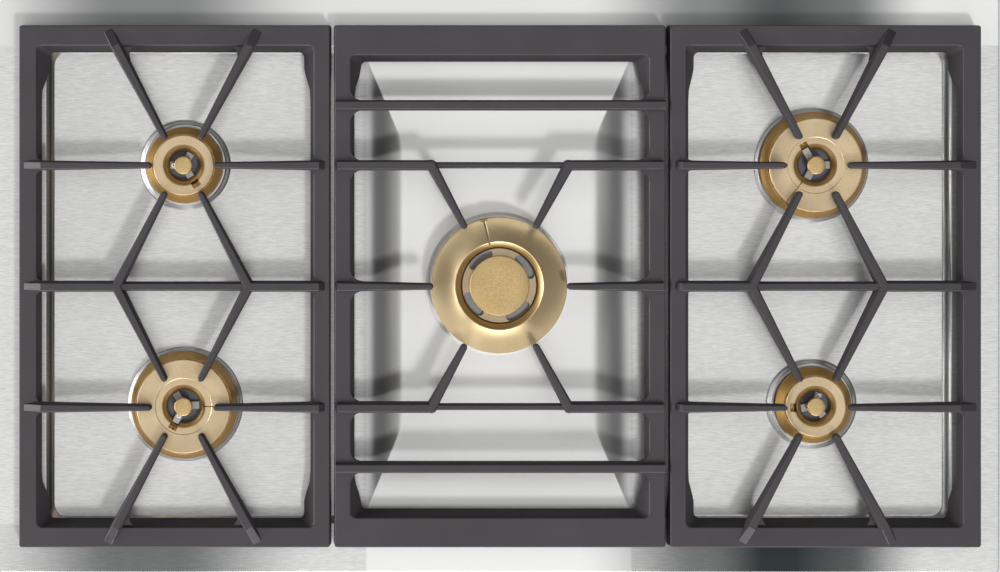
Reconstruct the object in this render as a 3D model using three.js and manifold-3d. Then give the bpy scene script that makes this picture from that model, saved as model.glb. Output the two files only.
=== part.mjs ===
// Built-in gas cooktop, 90 cm class: steel plate, three cast pan supports, four corner burners
// and a wok burner in the middle, over a shallow housing with its gas pipework.
// Millimetres. X to the right, Y to the back, Z up; the origin is under the housing's middle.
import * as THREE from 'three';
import * as BufferGeometryUtils from 'three/addons/utils/BufferGeometryUtils.js';
import Module from 'manifold-3d';

const wasm = await Module();
wasm.setup();
const { Manifold, Mesh: SolidMesh } = wasm;

// ---------------------------------------------------------------- driving dimensions

const CLEARANCE = 0.3;                 // left between pieces that rest on or fit in each other
const EPS = 1;                         // how far a cutter runs past what it cuts
const WELD = 0.01;                     // points nearer than this after a cut become one
const OVERLAP = 0.4;                   // how far a fillet reaches into what it joins

const HOUSING = { depth: 62, wall: 1.2, inset: 31, flange: 9, corner: 6 };
const VENT = { count: 6, length: 46, width: 5, pitch: 73.6, y: 175 };
const PLATE = { width: 914, depth: 524, thickness: 1.5, hem: 3, corner: 3 };
const RECESS = { rim: 43.5, bend: 9, drop: 7, corner: 9 };
const TROUGH = { margin: 3, halfWidth: 124, halfFloorWidth: 90, halfFloorDepth: 123, drop: 13, corner: 3 };
const SEAL = { inset: 2.5, width: 14, height: 3 };

const BURNER_PITCH = { x: 573, y: 218.6 };
const SUPPORT = {
  spread: 868.6, depth: 471.4, centreWidth: 298.6, gap: 4.5, corner: 2.5,
  rail: 22, outerRail: 15.8, innerRail: 14.4, crossRail: 18, wideCrossRail: 26.5,
  lift: 3, footLength: 34, footWidth: 9, draft: 0.3, flare: 0.06, web: 9.3,
  arch: 8, archEnd: 34, archRun: 24, archKnee: 0.35, pocketCorner: 5,
};
const FINGER = {
  top: 29.5, root: 9.4, diagonalRoot: 10.8, tip: 5.8, rootHeight: 17, tipHeight: 11, setback: 4.4,
  ramp: 16, innerRamp: 5.3, reach: 28.1, tipX: 15.5, tipY: 23.9, rootX: 67.7, node: 59.6, fillet: 6,
};
const LOW_BAR = { width: 8, top: 27.4, height: 15 };
const WOK_FINGER = { reach: 60.4, tipX: 31.3, tipY: 52.2, bend: 62, barY: 163.5, bridgeTop: 23 };

// Burner sizes: radii, and the gap and slope of the collar that the plate raises round the flame ring.
const SMALL = {
  base: 35, lid: 27.4, hole: 13.2, step: 0, funnel: 7, dip: 0.5, cup: 31,
  collarGap: 1.5, collarSlope: 5.5, ports: 10, segments: 22,
};
const LARGE = {
  base: 49, lid: 42.6, hole: 14.6, step: 25.3, funnel: 7.4, dip: 1.1, cup: 45,
  collarGap: 0.8, collarSlope: 3.2, ports: 12, segments: 26,
};
const BURNER = {
  collar: 6, rim: 4.2, rimRound: 0.8, top: 12, lidTop: 15.3, lidChamfer: 1.8, funnelDepth: 6.5,
  wall: 2.4, cupFloor: 44, flange: 6, flangeThickness: 3, skirtGap: 2, skirtWall: 3, skirtDepth: 6,
  bore: 3.5, boreFlare: 3, portWidth: 2.4, portDepth: 2.2, slit: 0.8, slitDepth: 1.9, cupSegments: 14,
};
const POST = {
  column: 6.5, columnTop: 12, disc: 11.2, discTop: 5.5, discThickness: 3, lugTop: 9, lugWidth: 6.9,
  airPort: 3, airPortHeight: 5,
};
const CAP = { radius: 8.2, top: 19, round: 1.2, crown: 0.4, segments: 16 };
const WOK = {
  base: 62, lip: 39.1, throat: 34.8, ringTop: 13, rim: 6, rimRound: 0.9, wall: 3, collar: 5, skirt: 8,
  head: 34, headTop: 8.6, headHeight: 8, headDisc: 3, cap: 27.2, capTop: 13.4, cup: 55, shelf: 6,
  slotInner: 28.2, slotOuter: 33, slotSpan: 36, slotTurn: -9, collarGap: 0.8, collarSlope: 3.2,
  portWidth: 2, portTop: 1, portDepth: 4, ports: 12, crossover: 103, segments: 30,
  igniterRadius: 30.6, igniterAngle: -57, igniterRise: 3,
};
const IGNITER = { radius: 1.9, electrode: 0.7, bare: 2, at: 8.9, tip: 11.4, arm: 17.4, armWidth: 6.8 };
const NOTCH = { at: 19.4, width: 7.6, depth: 12 };
const JET = { hex: 8, block: 11, nozzle: 4, nozzleHeight: 9, taper: 3, mouth: 2.4, well: 3 };
const GAS = {
  pipe: 4, rail: 7, wall: 1.6, valveWidth: 22, valveDepth: 26, valveDrop: 4, valveHeight: 22, coil: 8,
  z: 12.5, inlet: 9, inletReach: 12, inletInset: 40, railInset: 16, bend: 16,
};
const IGNITION_BOX = {
  width: 74, depth: 46, height: 26, corner: 3, ear: 9, earWidth: 12, earThickness: 3, x: 0, y: -178,
};
const CLAMP = { width: 18, height: 30, reach: 14, thickness: 2, screw: 3, y: 150 };
// Faces round the pieces that no size of their own gives: bars, pipes, holes and pins.
const SIDES = { knuckle: 12, tube: 16, manifold: 12, drum: 10, bore: 8, pin: 6, housing: 20, wokCap: 32 };

// ---------------------------------------------------------------- levels and places

const PLATE_TOP = HOUSING.depth;
const RIM_UNDER = PLATE_TOP - PLATE.thickness;
const RECESS_FLOOR = PLATE_TOP - RECESS.drop;
const TROUGH_FLOOR = RECESS_FLOOR - TROUGH.drop;
const HALF_WIDTH = PLATE.width / 2;
const HALF_DEPTH = PLATE.depth / 2;
const TROUGH_HALF_DEPTH = HALF_DEPTH - RECESS.rim - RECESS.bend - TROUGH.margin;

const SIDE_WIDTH = (SUPPORT.spread - SUPPORT.centreWidth) / 2 - SUPPORT.gap;
const SIDE_X = (SUPPORT.spread - SIDE_WIDTH) / 2;
const BURNER_X = BURNER_PITCH.x / 2;
const BURNER_Y = BURNER_PITCH.y / 2;

// The corner burners; igniter, notch and slit are headings in degrees from each burner's middle.
const CORNERS = [
  {
    name: 'rear_left', x: -BURNER_X, y: BURNER_Y, size: SMALL,
    igniter: 180, notch: 304, slit: null, valveX: -330,
  }, {
    name: 'front_left', x: -BURNER_X, y: -BURNER_Y, size: LARGE,
    igniter: 243, notch: 243, slit: 0, valveX: -226,
  }, {
    name: 'rear_right', x: BURNER_X, y: BURNER_Y, size: LARGE,
    igniter: 121, notch: 121, slit: 231, valveX: 330,
  }, {
    name: 'front_right', x: BURNER_X, y: -BURNER_Y, size: SMALL,
    igniter: 71, notch: 183, slit: null, valveX: 226,
  },
];
const WOK_JETS = [
  { name: 'wok_inner', x: 0, y: 0, valveX: -40 },
  { name: 'wok_outer', x: 0, y: 44, valveX: 40 },
];

// ---------------------------------------------------------------- solid helpers

function toSolid(geometry) {
  geometry.deleteAttribute('normal');
  geometry.deleteAttribute('uv');
  const merged = BufferGeometryUtils.mergeVertices(geometry, 1e-4);
  return new Manifold(new SolidMesh({
    numProp: 3,
    vertProperties: new Float32Array(merged.attributes.position.array),
    triVerts: new Uint32Array(merged.index.array),
  }));
}

function toGeometry(solid) {
  const mesh = solid.simplify(WELD).getMesh();
  const geometry = new THREE.BufferGeometry();
  geometry.setAttribute('position', new THREE.BufferAttribute(mesh.vertProperties, 3));
  geometry.setIndex(new THREE.BufferAttribute(mesh.triVerts, 1));
  geometry.computeVertexNormals();
  return geometry;
}

const join = (solids) => solids.reduce((whole, solid) => whole.add(solid));
const cut = (solid, cutters) => cutters.reduce((rest, cutter) => rest.subtract(cutter), solid);

// A closed [radius, height] profile turned about the Z axis.
function revolve(profile, segments) {
  const points = [...profile, profile[0]].map(([r, z]) => new THREE.Vector2(r, z));
  const geometry = new THREE.LatheGeometry(points, segments);
  geometry.rotateX(Math.PI / 2);
  const signedArea = THREE.ShapeUtils.area(points);
  return toSolid(signedArea > 0 ? geometry : flipped(geometry));
}

function flipped(geometry) {
  const index = geometry.index.array;
  for (let i = 0; i < index.length; i += 3) {
    [index[i], index[i + 1]] = [index[i + 1], index[i]];
  }
  return geometry;
}

// A plan outline of [x, y] points raised from z0 to z1.
function prism(outline, z0, z1) {
  const shape = new THREE.Shape(outline.map(([x, y]) => new THREE.Vector2(x, y)));
  const geometry = new THREE.ExtrudeGeometry(shape, { depth: z1 - z0, bevelEnabled: false });
  geometry.translate(0, 0, z0);
  return toSolid(geometry);
}

// An elevation outline of [x, z] points carried along Y from y0 to y1.
function elevation(outline, y0, y1) {
  return prism(outline, -y1, -y0).rotate([90, 0, 0]);
}

function box(x0, x1, y0, y1, z0, z1) {
  return prism([[x0, y0], [x1, y0], [x1, y1], [x0, y1]], z0, z1);
}

function cylinder(radius, z0, z1, segments) {
  return revolve([[0, z0], [radius, z0], [radius, z1], [0, z1]], segments);
}

// Points of a rectangle with round corners, anticlockwise about its centre.
function roundedRectangle(halfX, halfY, radius, steps = 3) {
  const points = [];
  for (const [sx, sy, start] of [[1, 1, 0], [-1, 1, 90], [-1, -1, 180], [1, -1, 270]]) {
    for (let i = 0; i <= steps; i += 1) {
      const [x, y] = placed(radius, start + (90 * i) / steps);
      points.push([sx * (halfX - radius) + x, sy * (halfY - radius) + y]);
    }
  }
  return points;
}

// A solid skinned over level outlines of the same number of points, from the lowest up.
function loft(levels) {
  const count = levels[0].outline.length;
  const positions = levels.flatMap(({ outline, z }) => outline.flatMap(([x, y]) => [x, y, z]));
  const contour = levels[0].outline.map(([x, y]) => new THREE.Vector2(x, y));
  const cap = THREE.ShapeUtils.triangulateShape(contour, []);
  const top = (levels.length - 1) * count;
  const faces = [];
  for (const [a, b, c] of cap) {
    faces.push(c, b, a, top + a, top + b, top + c);
  }
  for (let level = 0; level < levels.length - 1; level += 1) {
    for (let i = 0; i < count; i += 1) {
      const a = level * count + i;
      const b = level * count + ((i + 1) % count);
      faces.push(a, b, b + count, a, b + count, a + count);
    }
  }
  const geometry = new THREE.BufferGeometry();
  geometry.setAttribute('position', new THREE.BufferAttribute(new Float32Array(positions), 3));
  geometry.setIndex(faces);
  return toSolid(geometry);
}

const at = (solid, x, y, z = 0) => solid.translate([x, y, z]);
const turned = (solid, degrees) => solid.rotate([0, 0, degrees]);
const radians = THREE.MathUtils.degToRad;
const placed = (radius, angle) => [radius * Math.cos(radians(angle)), radius * Math.sin(radians(angle))];

// ---------------------------------------------------------------- materials

const paint = (color, roughness, metalness) => new THREE.MeshStandardMaterial({
  color, roughness, metalness });
const steel = paint(0xc4c4c1, 0.35, 0.9);
const zinc = paint(0xa9adb0, 0.5, 0.8);
const castIron = paint(0x545155, 0.7, 0.3);
const darkBrass = paint(0x96703a, 0.4, 0.9);
const lightBrass = paint(0xd7be8c, 0.35, 0.9);
const capBrass = paint(0xcdaa64, 0.5, 0.8);
const aluminium = paint(0x5a5d62, 0.5, 0.7);
const ceramic = paint(0xf0ece4, 0.3, 0);
const rubber = paint(0x2a2a2a, 0.9, 0);
const blackPlastic = paint(0x26272a, 0.6, 0);

const cooktop = new THREE.Group();

function addNode(name, solid, material, parent = cooktop) {
  const mesh = new THREE.Mesh(toGeometry(solid), material);
  mesh.name = name;
  parent.add(mesh);
  return mesh;
}

// ---------------------------------------------------------------- steel plate

const CUP_GAP = 1;

// The collar is a raised cone round a burner opening with a lip that the flame ring stands on.
function collarRadii({ base, cup, collarGap, collarSlope }) {
  const top = base + collarGap;
  return { foot: top + collarSlope, top, hole: cup + CUP_GAP };
}

function collarSolid(size, floor, rise) {
  const { foot, top } = collarRadii(size);
  const z = floor + rise;
  const under = floor - PLATE.thickness;
  return revolve([[0, under], [foot, under], [foot, floor], [top, z], [0, z]], size.segments);
}

function collarHollow(size, floor, rise) {
  const { foot, top, hole } = collarRadii(size);
  const under = floor - PLATE.thickness;
  const z = floor + rise - PLATE.thickness;
  return revolve([[0, under - EPS], [foot - PLATE.thickness, under - EPS], [top - PLATE.thickness, z],
    [hole, z], [hole, z + PLATE.thickness + EPS], [0, z + PLATE.thickness + EPS]], size.segments);
}

// Half sizes of the pocket at its rim and floor; grow makes the outer skin of the same pocket.
function recessPocket(grow, top) {
  const bottom = RECESS_FLOOR - grow;
  const halfX = HALF_WIDTH - RECESS.rim + grow;
  const halfY = HALF_DEPTH - RECESS.rim + grow;
  const rim = roundedRectangle(halfX, halfY, RECESS.corner + RECESS.bend);
  const floor = roundedRectangle(halfX - RECESS.bend, halfY - RECESS.bend, RECESS.corner);
  return loft([
    { outline: floor, z: bottom }, { outline: rim, z: PLATE_TOP - grow }, { outline: rim, z: top }]);
}

// The mitred trough: its four slopes start and end level, in the soft bends of pressed sheet.
function troughPocket(grow, top) {
  const levels = [0, 0.2, 0.8, 1].map((share) => {
    const fall = TROUGH.drop * share * share * (3 - 2 * share);
    const halfX = THREE.MathUtils.lerp(TROUGH.halfWidth, TROUGH.halfFloorWidth, share) + grow;
    const halfY = THREE.MathUtils.lerp(TROUGH_HALF_DEPTH, TROUGH.halfFloorDepth, share) + grow;
    return { outline: roundedRectangle(halfX, halfY, TROUGH.corner, 1), z: RECESS_FLOOR - fall - grow };
  });
  const mouth = { outline: levels[0].outline, z: top };
  return loft([...levels.reverse(), mouth]);
}

function cooktopPlate() {
  const outline = roundedRectangle(HALF_WIDTH, HALF_DEPTH, PLATE.corner);
  const slab = prism(outline, PLATE_TOP - PLATE.hem, PLATE_TOP);
  const inside = prism(
    roundedRectangle(HALF_WIDTH - PLATE.thickness, HALF_DEPTH - PLATE.thickness, PLATE.corner),
    PLATE_TOP - PLATE.hem - EPS, RIM_UNDER);
  const skin = join([cut(slab, [inside]), recessPocket(PLATE.thickness, RIM_UNDER + EPS / 2),
    troughPocket(PLATE.thickness, RECESS_FLOOR)]);
  const pressed = cut(skin, [recessPocket(0, PLATE_TOP + EPS), troughPocket(0, RECESS_FLOOR + EPS)]);
  const collars = CORNERS.map(({ x, y, size }) => at(collarSolid(size, RECESS_FLOOR, BURNER.collar), x, y));
  const hollows = CORNERS.map(({ x, y, size }) => at(collarHollow(size, RECESS_FLOOR, BURNER.collar), x, y));
  return cut(join([pressed, ...collars, collarSolid(WOK, TROUGH_FLOOR, WOK.collar)]),
    [...hollows, collarHollow(WOK, TROUGH_FLOOR, WOK.collar)]);
}

addNode('cooktop_plate', cooktopPlate(), steel);

function rimSeal() {
  const halfX = HALF_WIDTH - SEAL.inset;
  const halfY = HALF_DEPTH - SEAL.inset;
  const top = RIM_UNDER - CLEARANCE;
  const strip = prism(roundedRectangle(halfX, halfY, PLATE.corner), top - SEAL.height, top);
  const middle = roundedRectangle(halfX - SEAL.width, halfY - SEAL.width, PLATE.corner);
  return cut(strip, [prism(middle, top - SEAL.height - EPS, top + EPS)]);
}

addNode('rim_seal', rimSeal(), rubber);

// ---------------------------------------------------------------- housing

const TRAY_X = HALF_WIDTH - HOUSING.inset;
const TRAY_Y = HALF_DEPTH - HOUSING.inset;
const TRAY_TOP = RIM_UNDER - CLEARANCE;
const INLET_X = TRAY_X - GAS.inletInset;
const MANIFOLD_Y = TRAY_Y - GAS.railInset;

function housingTray() {
  const shell = prism(roundedRectangle(TRAY_X, TRAY_Y, HOUSING.corner), 0, TRAY_TOP);
  const lip = prism(roundedRectangle(TRAY_X + HOUSING.flange, TRAY_Y + HOUSING.flange, HOUSING.corner),
    TRAY_TOP - HOUSING.wall, TRAY_TOP);
  const inside = prism(
    roundedRectangle(TRAY_X - HOUSING.wall, TRAY_Y - HOUSING.wall, HOUSING.corner - HOUSING.wall),
    HOUSING.wall, TRAY_TOP + EPS);
  const vents = [];
  for (let i = 0; i < VENT.count; i += 1) {
    const x = (i - (VENT.count - 1) / 2) * VENT.pitch - VENT.length / 2;
    vents.push(box(x, x + VENT.length, VENT.y, VENT.y + VENT.width, -EPS, HOUSING.wall + EPS));
  }
  const through = cylinder(GAS.inlet + CLEARANCE, -HOUSING.wall - EPS, HOUSING.wall + EPS, SIDES.tube);
  const inletHole = at(through.rotate([90, 0, 0]), INLET_X, TRAY_Y, GAS.z + GAS.rail);
  return cut(join([shell, lip]), [inside, ...vents, inletHole]);
}

addNode('housing_tray', housingTray(), zinc);

function worktopClamp() {
  const { width, height, reach, thickness, screw } = CLAMP;
  const plate = box(CLEARANCE, CLEARANCE + thickness, -width / 2, width / 2, -height / 2, height / 2);
  const foot = box(CLEARANCE, reach, -width / 2, width / 2, -height / 2, -height / 2 + thickness);
  const bolt = at(
    cylinder(screw, (thickness - height) / 2, height / 2 - thickness, SIDES.pin), reach - 2 * screw, 0);
  return join([plate, foot, bolt]);
}

for (const [side, sideSign] of [['left', -1], ['right', 1]]) {
  for (const [row, rowSign] of [['rear', 1], ['front', -1]]) {
    const clamp = sideSign < 0 ? worktopClamp().mirror([1, 0, 0]) : worktopClamp();
    const hung = at(clamp, sideSign * TRAY_X, rowSign * CLAMP.y, PLATE_TOP / 2);
    addNode(`worktop_clamp_${row}_${side}`, hung, zinc);
  }
}

// ---------------------------------------------------------------- pan supports

// A cast rail frame: drafted inside and out, arched under its side rails, standing on corner feet.
function supportFrame(width, leftRail, rightRail, crossRail) {
  const halfX = width / 2;
  const halfY = SUPPORT.depth / 2;
  const bottom = SUPPORT.lift;
  const flare = (SUPPORT.rail - bottom) * SUPPORT.flare;
  const outer = loft([
    { outline: roundedRectangle(halfX + flare, halfY + flare, SUPPORT.corner + flare), z: bottom },
    { outline: roundedRectangle(halfX, halfY, SUPPORT.corner), z: SUPPORT.rail }]);
  const pocketX = (width - leftRail - rightRail) / 2;
  const pocketY = halfY - crossRail;
  const pocket = (z) => {
    const draft = (SUPPORT.rail - z) * SUPPORT.draft;
    return { outline: roundedRectangle(pocketX - draft, pocketY - draft, SUPPORT.pocketCorner), z };
  };
  const middle = (leftRail - rightRail) / 2;
  const opening = at(loft([pocket(bottom - EPS), pocket(SUPPORT.rail + EPS)]), middle, 0);
  const web = cornerWeb(pocketX, pocketY);
  const foot = box(
    halfX - SUPPORT.footLength, halfX, halfY - SUPPORT.footWidth, halfY, CLEARANCE, bottom + EPS);
  const corners = [-1, 1].flatMap((sx) => [-1, 1].flatMap((sy) => [
    foot.scale([sx, sy, 1]), at(web.scale([sx, sy, 1]), middle, 0)]));
  return join([cut(outer, [opening, sideArch(width + 2 * flare)]), ...corners]);
}

// The web that widens a side rail's inner wall towards its foot, for the pocket's corner at +X, +Y.
function cornerWeb(pocketX, pocketY) {
  const { depth, archEnd, archRun, lift, rail, web } = SUPPORT;
  const start = depth / 2 - archEnd;
  const outline = (inward) => [
    [pocketX + OVERLAP, pocketY + OVERLAP], [pocketX - inward, pocketY + OVERLAP],
    [pocketX - inward, start], [pocketX, start - archRun], [pocketX + OVERLAP, start - archRun]];
  return loft([{ outline: outline(web), z: lift }, { outline: outline(0), z: rail }]);
}

// The low arch under the side rails, between the corner feet.
function sideArch(span) {
  const { depth, archEnd, archRun, archKnee, lift, arch } = SUPPORT;
  const start = depth / 2 - archEnd;
  const knee = start - archRun * archKnee;
  const full = start - archRun;
  const kneeHeight = lift + arch * archKnee;
  const outline = [[-start, -EPS], [start, -EPS], [start, lift], [knee, kneeHeight],
    [full, lift + arch], [-full, lift + arch], [-knee, kneeHeight], [-start, lift]];
  return turned(elevation(outline, -span, span), 90);
}

// A finger: its tapered, round-ended plan cut by its side elevation, with a ramp where it starts on the rail.
function finger(from, to, options = {}) {
  const { root = FINGER.root, tip = FINGER.tip, top = FINGER.top } = options;
  const { ramp = FINGER.ramp, round = true } = options;
  const { rootHeight = FINGER.rootHeight, tipHeight = FINGER.tipHeight } = options;
  const length = Math.hypot(to[0] - from[0], to[1] - from[1]);
  const plan = [[0, -root / 2]];
  if (round) {
    for (let i = 0; i <= 4; i += 1) {
      const [x, y] = placed(tip / 2, -90 + 45 * i);
      plan.push([length - tip / 2 + x, y]);
    }
  } else {
    plan.push([length, -tip / 2], [length, tip / 2]);
  }
  plan.push([0, root / 2]);
  const rampStart = ramp > 0 ? SUPPORT.rail : top;
  const side = [[-EPS, top - rootHeight], [length + EPS, top - tipHeight], [length + EPS, top], [ramp, top],
    [0, rampStart], [-EPS, rampStart]];
  const solid = prism(plan, top - rootHeight - EPS, top + EPS).intersect(elevation(side, -root, root));
  const heading = THREE.MathUtils.radToDeg(Math.atan2(to[1] - from[1], to[0] - from[0]));
  return at(turned(solid, heading), from[0], from[1]);
}

const bar = (from, to, options = {}) => finger(from, to, {
  tip: FINGER.root, tipHeight: FINGER.rootHeight, round: false, ramp: 0, ...options });

// The round knuckle where bars of the same height meet or bend.
const knuckle = () => cylinder(FINGER.root / 2, FINGER.top - FINGER.rootHeight, FINGER.top, SIDES.knuckle);

// A concave fillet in the corner at x, y, between sides that leave it at the two angles, the smaller first.
function fillet(x, y, first, second) {
  const half = (second - first) / 2;
  const [cx, cy] = placed(FINGER.fillet / Math.sin(radians(half)), first + half);
  const outline = [[x, y]];
  for (let i = 0; i <= 3; i += 1) {
    const [px, py] = placed(FINGER.fillet, first - 90 - ((180 - 2 * half) * i) / 3);
    outline.push([x + cx + px, y + cy + py]);
  }
  return prism(outline, FINGER.top - FINGER.rootHeight, SUPPORT.rail);
}

// The two fillets where a bar's end at row y meets a rail whose inner side is at x; inward is 0 or 180.
function barFillets(x, y, inward) {
  const rail = x - OVERLAP * Math.cos(radians(inward));
  const edge = FINGER.root / 2 - OVERLAP;
  return inward === 0
    ? [fillet(rail, y + edge, 0, 90), fillet(rail, y - edge, -90, 0)]
    : [fillet(rail, y + edge, 90, 180), fillet(rail, y - edge, 180, 270)];
}

// The fillet in the narrow corner between a diagonal finger and the cross rail whose inner side is at railY.
function rootFillet(root, tip, railY) {
  const [dx, dy] = [tip[0] - root[0], tip[1] - root[1]];
  const row = Math.sign(root[1]);
  const y = row * (railY + OVERLAP);
  const share = (y - root[1]) / dy;
  const halfWidth = FINGER.diagonalRoot / 2 - OVERLAP;
  const x = root[0] + dx * share + Math.sign(dx) * halfWidth * Math.hypot(dx, dy) / Math.abs(dy);
  const slant = THREE.MathUtils.radToDeg(Math.atan2(-row * dy, Math.abs(dx)));
  const solid = row > 0 ? fillet(0, 0, -slant, 0) : fillet(0, 0, 0, slant);
  return at(dx > 0 ? solid : solid.mirror([1, 0, 0]), x, y);
}

// A side support is drawn with its outer rail to the left, about its own middle.
function sideSupport(mirrored) {
  const halfX = SIDE_WIDTH / 2;
  const halfY = SUPPORT.depth / 2;
  const burnerX = SIDE_X - BURNER_X;
  const left = -halfX;
  const right = halfX;
  const frame = supportFrame(SIDE_WIDTH, SUPPORT.outerRail, SUPPORT.innerRail, SUPPORT.crossRail);
  const innerRoot = { ramp: FINGER.innerRamp };
  const pieces = [];
  for (const row of [-1, 1]) {
    const y = row * BURNER_Y;
    pieces.push(finger([left + FINGER.setback, y], [burnerX - FINGER.reach, y]));
    pieces.push(finger([right - FINGER.setback, y], [burnerX + FINGER.reach, y], innerRoot));
    for (const side of [-1, 1]) {
      const root = [burnerX + side * FINGER.rootX, row * (halfY - FINGER.setback)];
      const tip = [burnerX + side * FINGER.tipX, y + row * FINGER.tipY];
      const nearTip = [burnerX + side * FINGER.tipX, y - row * FINGER.tipY];
      pieces.push(finger(root, tip, { root: FINGER.diagonalRoot }));
      pieces.push(rootFillet(root, tip, halfY - SUPPORT.crossRail));
      pieces.push(finger([burnerX + side * FINGER.node, 0], nearTip, { ramp: 0 }));
    }
  }
  pieces.push(finger([left + FINGER.setback, 0], [burnerX - FINGER.node, 0], {
    tip: FINGER.root, tipHeight: FINGER.rootHeight }));
  pieces.push(finger([right - FINGER.setback, 0], [burnerX + FINGER.node, 0], {
    ...innerRoot, tip: FINGER.root, tipHeight: FINGER.rootHeight }));
  pieces.push(bar([burnerX - FINGER.node, 0], [burnerX + FINGER.node, 0], {
    root: LOW_BAR.width, tip: LOW_BAR.width, top: LOW_BAR.top,
    rootHeight: LOW_BAR.height, tipHeight: LOW_BAR.height }));
  for (const side of [-1, 1]) {
    pieces.push(at(knuckle(), burnerX + side * FINGER.node, 0));
  }
  for (const y of [-BURNER_Y, 0, BURNER_Y]) {
    pieces.push(...barFillets(left + SUPPORT.outerRail, y, 0));
    pieces.push(...barFillets(right - SUPPORT.innerRail, y, 180));
  }
  const solid = join([frame, ...pieces]);
  return mirrored ? solid.mirror([1, 0, 0]) : solid;
}

function centreSupport() {
  const halfX = SUPPORT.centreWidth / 2;
  const inset = FINGER.setback / 2;
  const { centreWidth, innerRail, wideCrossRail } = SUPPORT;
  const frame = supportFrame(centreWidth, innerRail, innerRail, wideCrossRail);
  const pieces = [];
  const barEnds = [-WOK_FINGER.barY, -BURNER_Y, 0, BURNER_Y, WOK_FINGER.barY];
  for (const row of [-1, 1]) {
    pieces.push(bar([-halfX + inset, row * WOK_FINGER.barY], [halfX - inset, row * WOK_FINGER.barY]));
    const y = row * BURNER_Y;
    pieces.push(bar([-WOK_FINGER.bend, y], [WOK_FINGER.bend, y], {
      root: FINGER.tip, tip: FINGER.tip, top: WOK_FINGER.bridgeTop,
      rootHeight: FINGER.tipHeight, tipHeight: FINGER.tipHeight }));
    for (const side of [-1, 1]) {
      const elbow = [side * WOK_FINGER.bend, y];
      pieces.push(bar([side * (halfX - inset), y], elbow));
      pieces.push(at(knuckle(), ...elbow));
      pieces.push(finger(elbow, [side * WOK_FINGER.tipX, row * WOK_FINGER.tipY], { ramp: 0 }));
    }
  }
  for (const side of [-1, 1]) {
    pieces.push(finger([side * (halfX - inset), 0], [side * WOK_FINGER.reach, 0], { ramp: 0 }));
    for (const y of barEnds) {
      pieces.push(...barFillets(side * (halfX - SUPPORT.innerRail), y, side < 0 ? 0 : 180));
    }
  }
  return join([frame, ...pieces]);
}

addNode('pan_support_left', at(sideSupport(false), -SIDE_X, 0, PLATE_TOP), castIron);
addNode('pan_support_centre', at(centreSupport(), 0, 0, PLATE_TOP), castIron);
addNode('pan_support_right', at(sideSupport(true), SIDE_X, 0, PLATE_TOP), castIron);

// ---------------------------------------------------------------- corner burners

const CUP_UNDER = RECESS_FLOOR - PLATE.thickness - CLEARANCE;
const CUP_RIM = RECESS_FLOOR + BURNER.collar - PLATE.thickness - CLEARANCE;
const BASE_SEAT = RECESS_FLOOR + BURNER.collar + CLEARANCE;
const LID_SEAT = PLATE_TOP + BURNER.top + CLEARANCE;
const CUP_FLOOR = PLATE_TOP - BURNER.cupFloor;
const JET_TOP = CUP_FLOOR - CLEARANCE + JET.nozzleHeight;

// The cup hangs under the plate and takes the flame ring's skirt in its mouth.
function burnerCup(size, igniter) {
  const { wall, flange, flangeThickness, cupSegments } = BURNER;
  const outer = size.cup;
  const inner = outer - wall;
  const reach = collarRadii(size).foot + flange;
  const bowl = revolve([[0, CUP_FLOOR], [outer, CUP_FLOOR], [outer, CUP_UNDER - flangeThickness],
    [reach, CUP_UNDER - flangeThickness], [reach, CUP_UNDER], [outer, CUP_UNDER], [outer, CUP_RIM],
    [inner, CUP_RIM], [inner, CUP_FLOOR + wall], [0, CUP_FLOOR + wall]], cupSegments);
  return cut(bowl, [floorBore(JET.nozzle, 0, 0), floorBore(IGNITER.radius, ...placed(IGNITER.at, igniter))]);
}

const floorBore = (radius, x, y) => at(
  cylinder(radius + CLEARANCE, CUP_FLOOR - EPS, CUP_FLOOR + BURNER.wall + EPS, SIDES.bore), x, y);

// An air port beside the jet, through one wall of the column over it.
const airPort = (column) => box(0, column + EPS, -POST.airPort / 2, POST.airPort / 2,
  JET_TOP - POST.airPortHeight / 2, JET_TOP + POST.airPortHeight / 2);

// The inner burner stands over the jet and holds the small cap on a disc with three lugs.
function innerBurner(igniter) {
  const { column, disc, lugWidth } = POST;
  const floor = CUP_FLOOR + BURNER.wall + CLEARANCE;
  const discTop = PLATE_TOP + POST.discTop;
  const columnTop = PLATE_TOP + POST.columnTop;
  const bore = JET.nozzle + CLEARANCE;
  const post = revolve([[bore, floor], [column, floor], [column, discTop - POST.discThickness],
    [disc, discTop], [column, discTop], [column, columnTop],
    [0, columnTop], [0, JET_TOP + 2 * JET.well], [bore, JET_TOP + JET.well]], BURNER.cupSegments);
  const lug = box(column / 2, disc, -lugWidth / 2, lugWidth / 2, discTop - EPS, PLATE_TOP + POST.lugTop);
  const lugs = [0, 120, 240].map((turn) => turned(lug, igniter + turn));
  const airPorts = [60, 180, 300].map((turn) => turned(airPort(column), igniter + turn));
  const [x, y] = placed(IGNITER.at, igniter);
  const igniterWay = at(cylinder(IGNITER.radius + CLEARANCE, floor - EPS, columnTop, SIDES.bore), x, y);
  return cut(join([post, ...lugs]), [...airPorts, igniterWay]);
}

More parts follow.
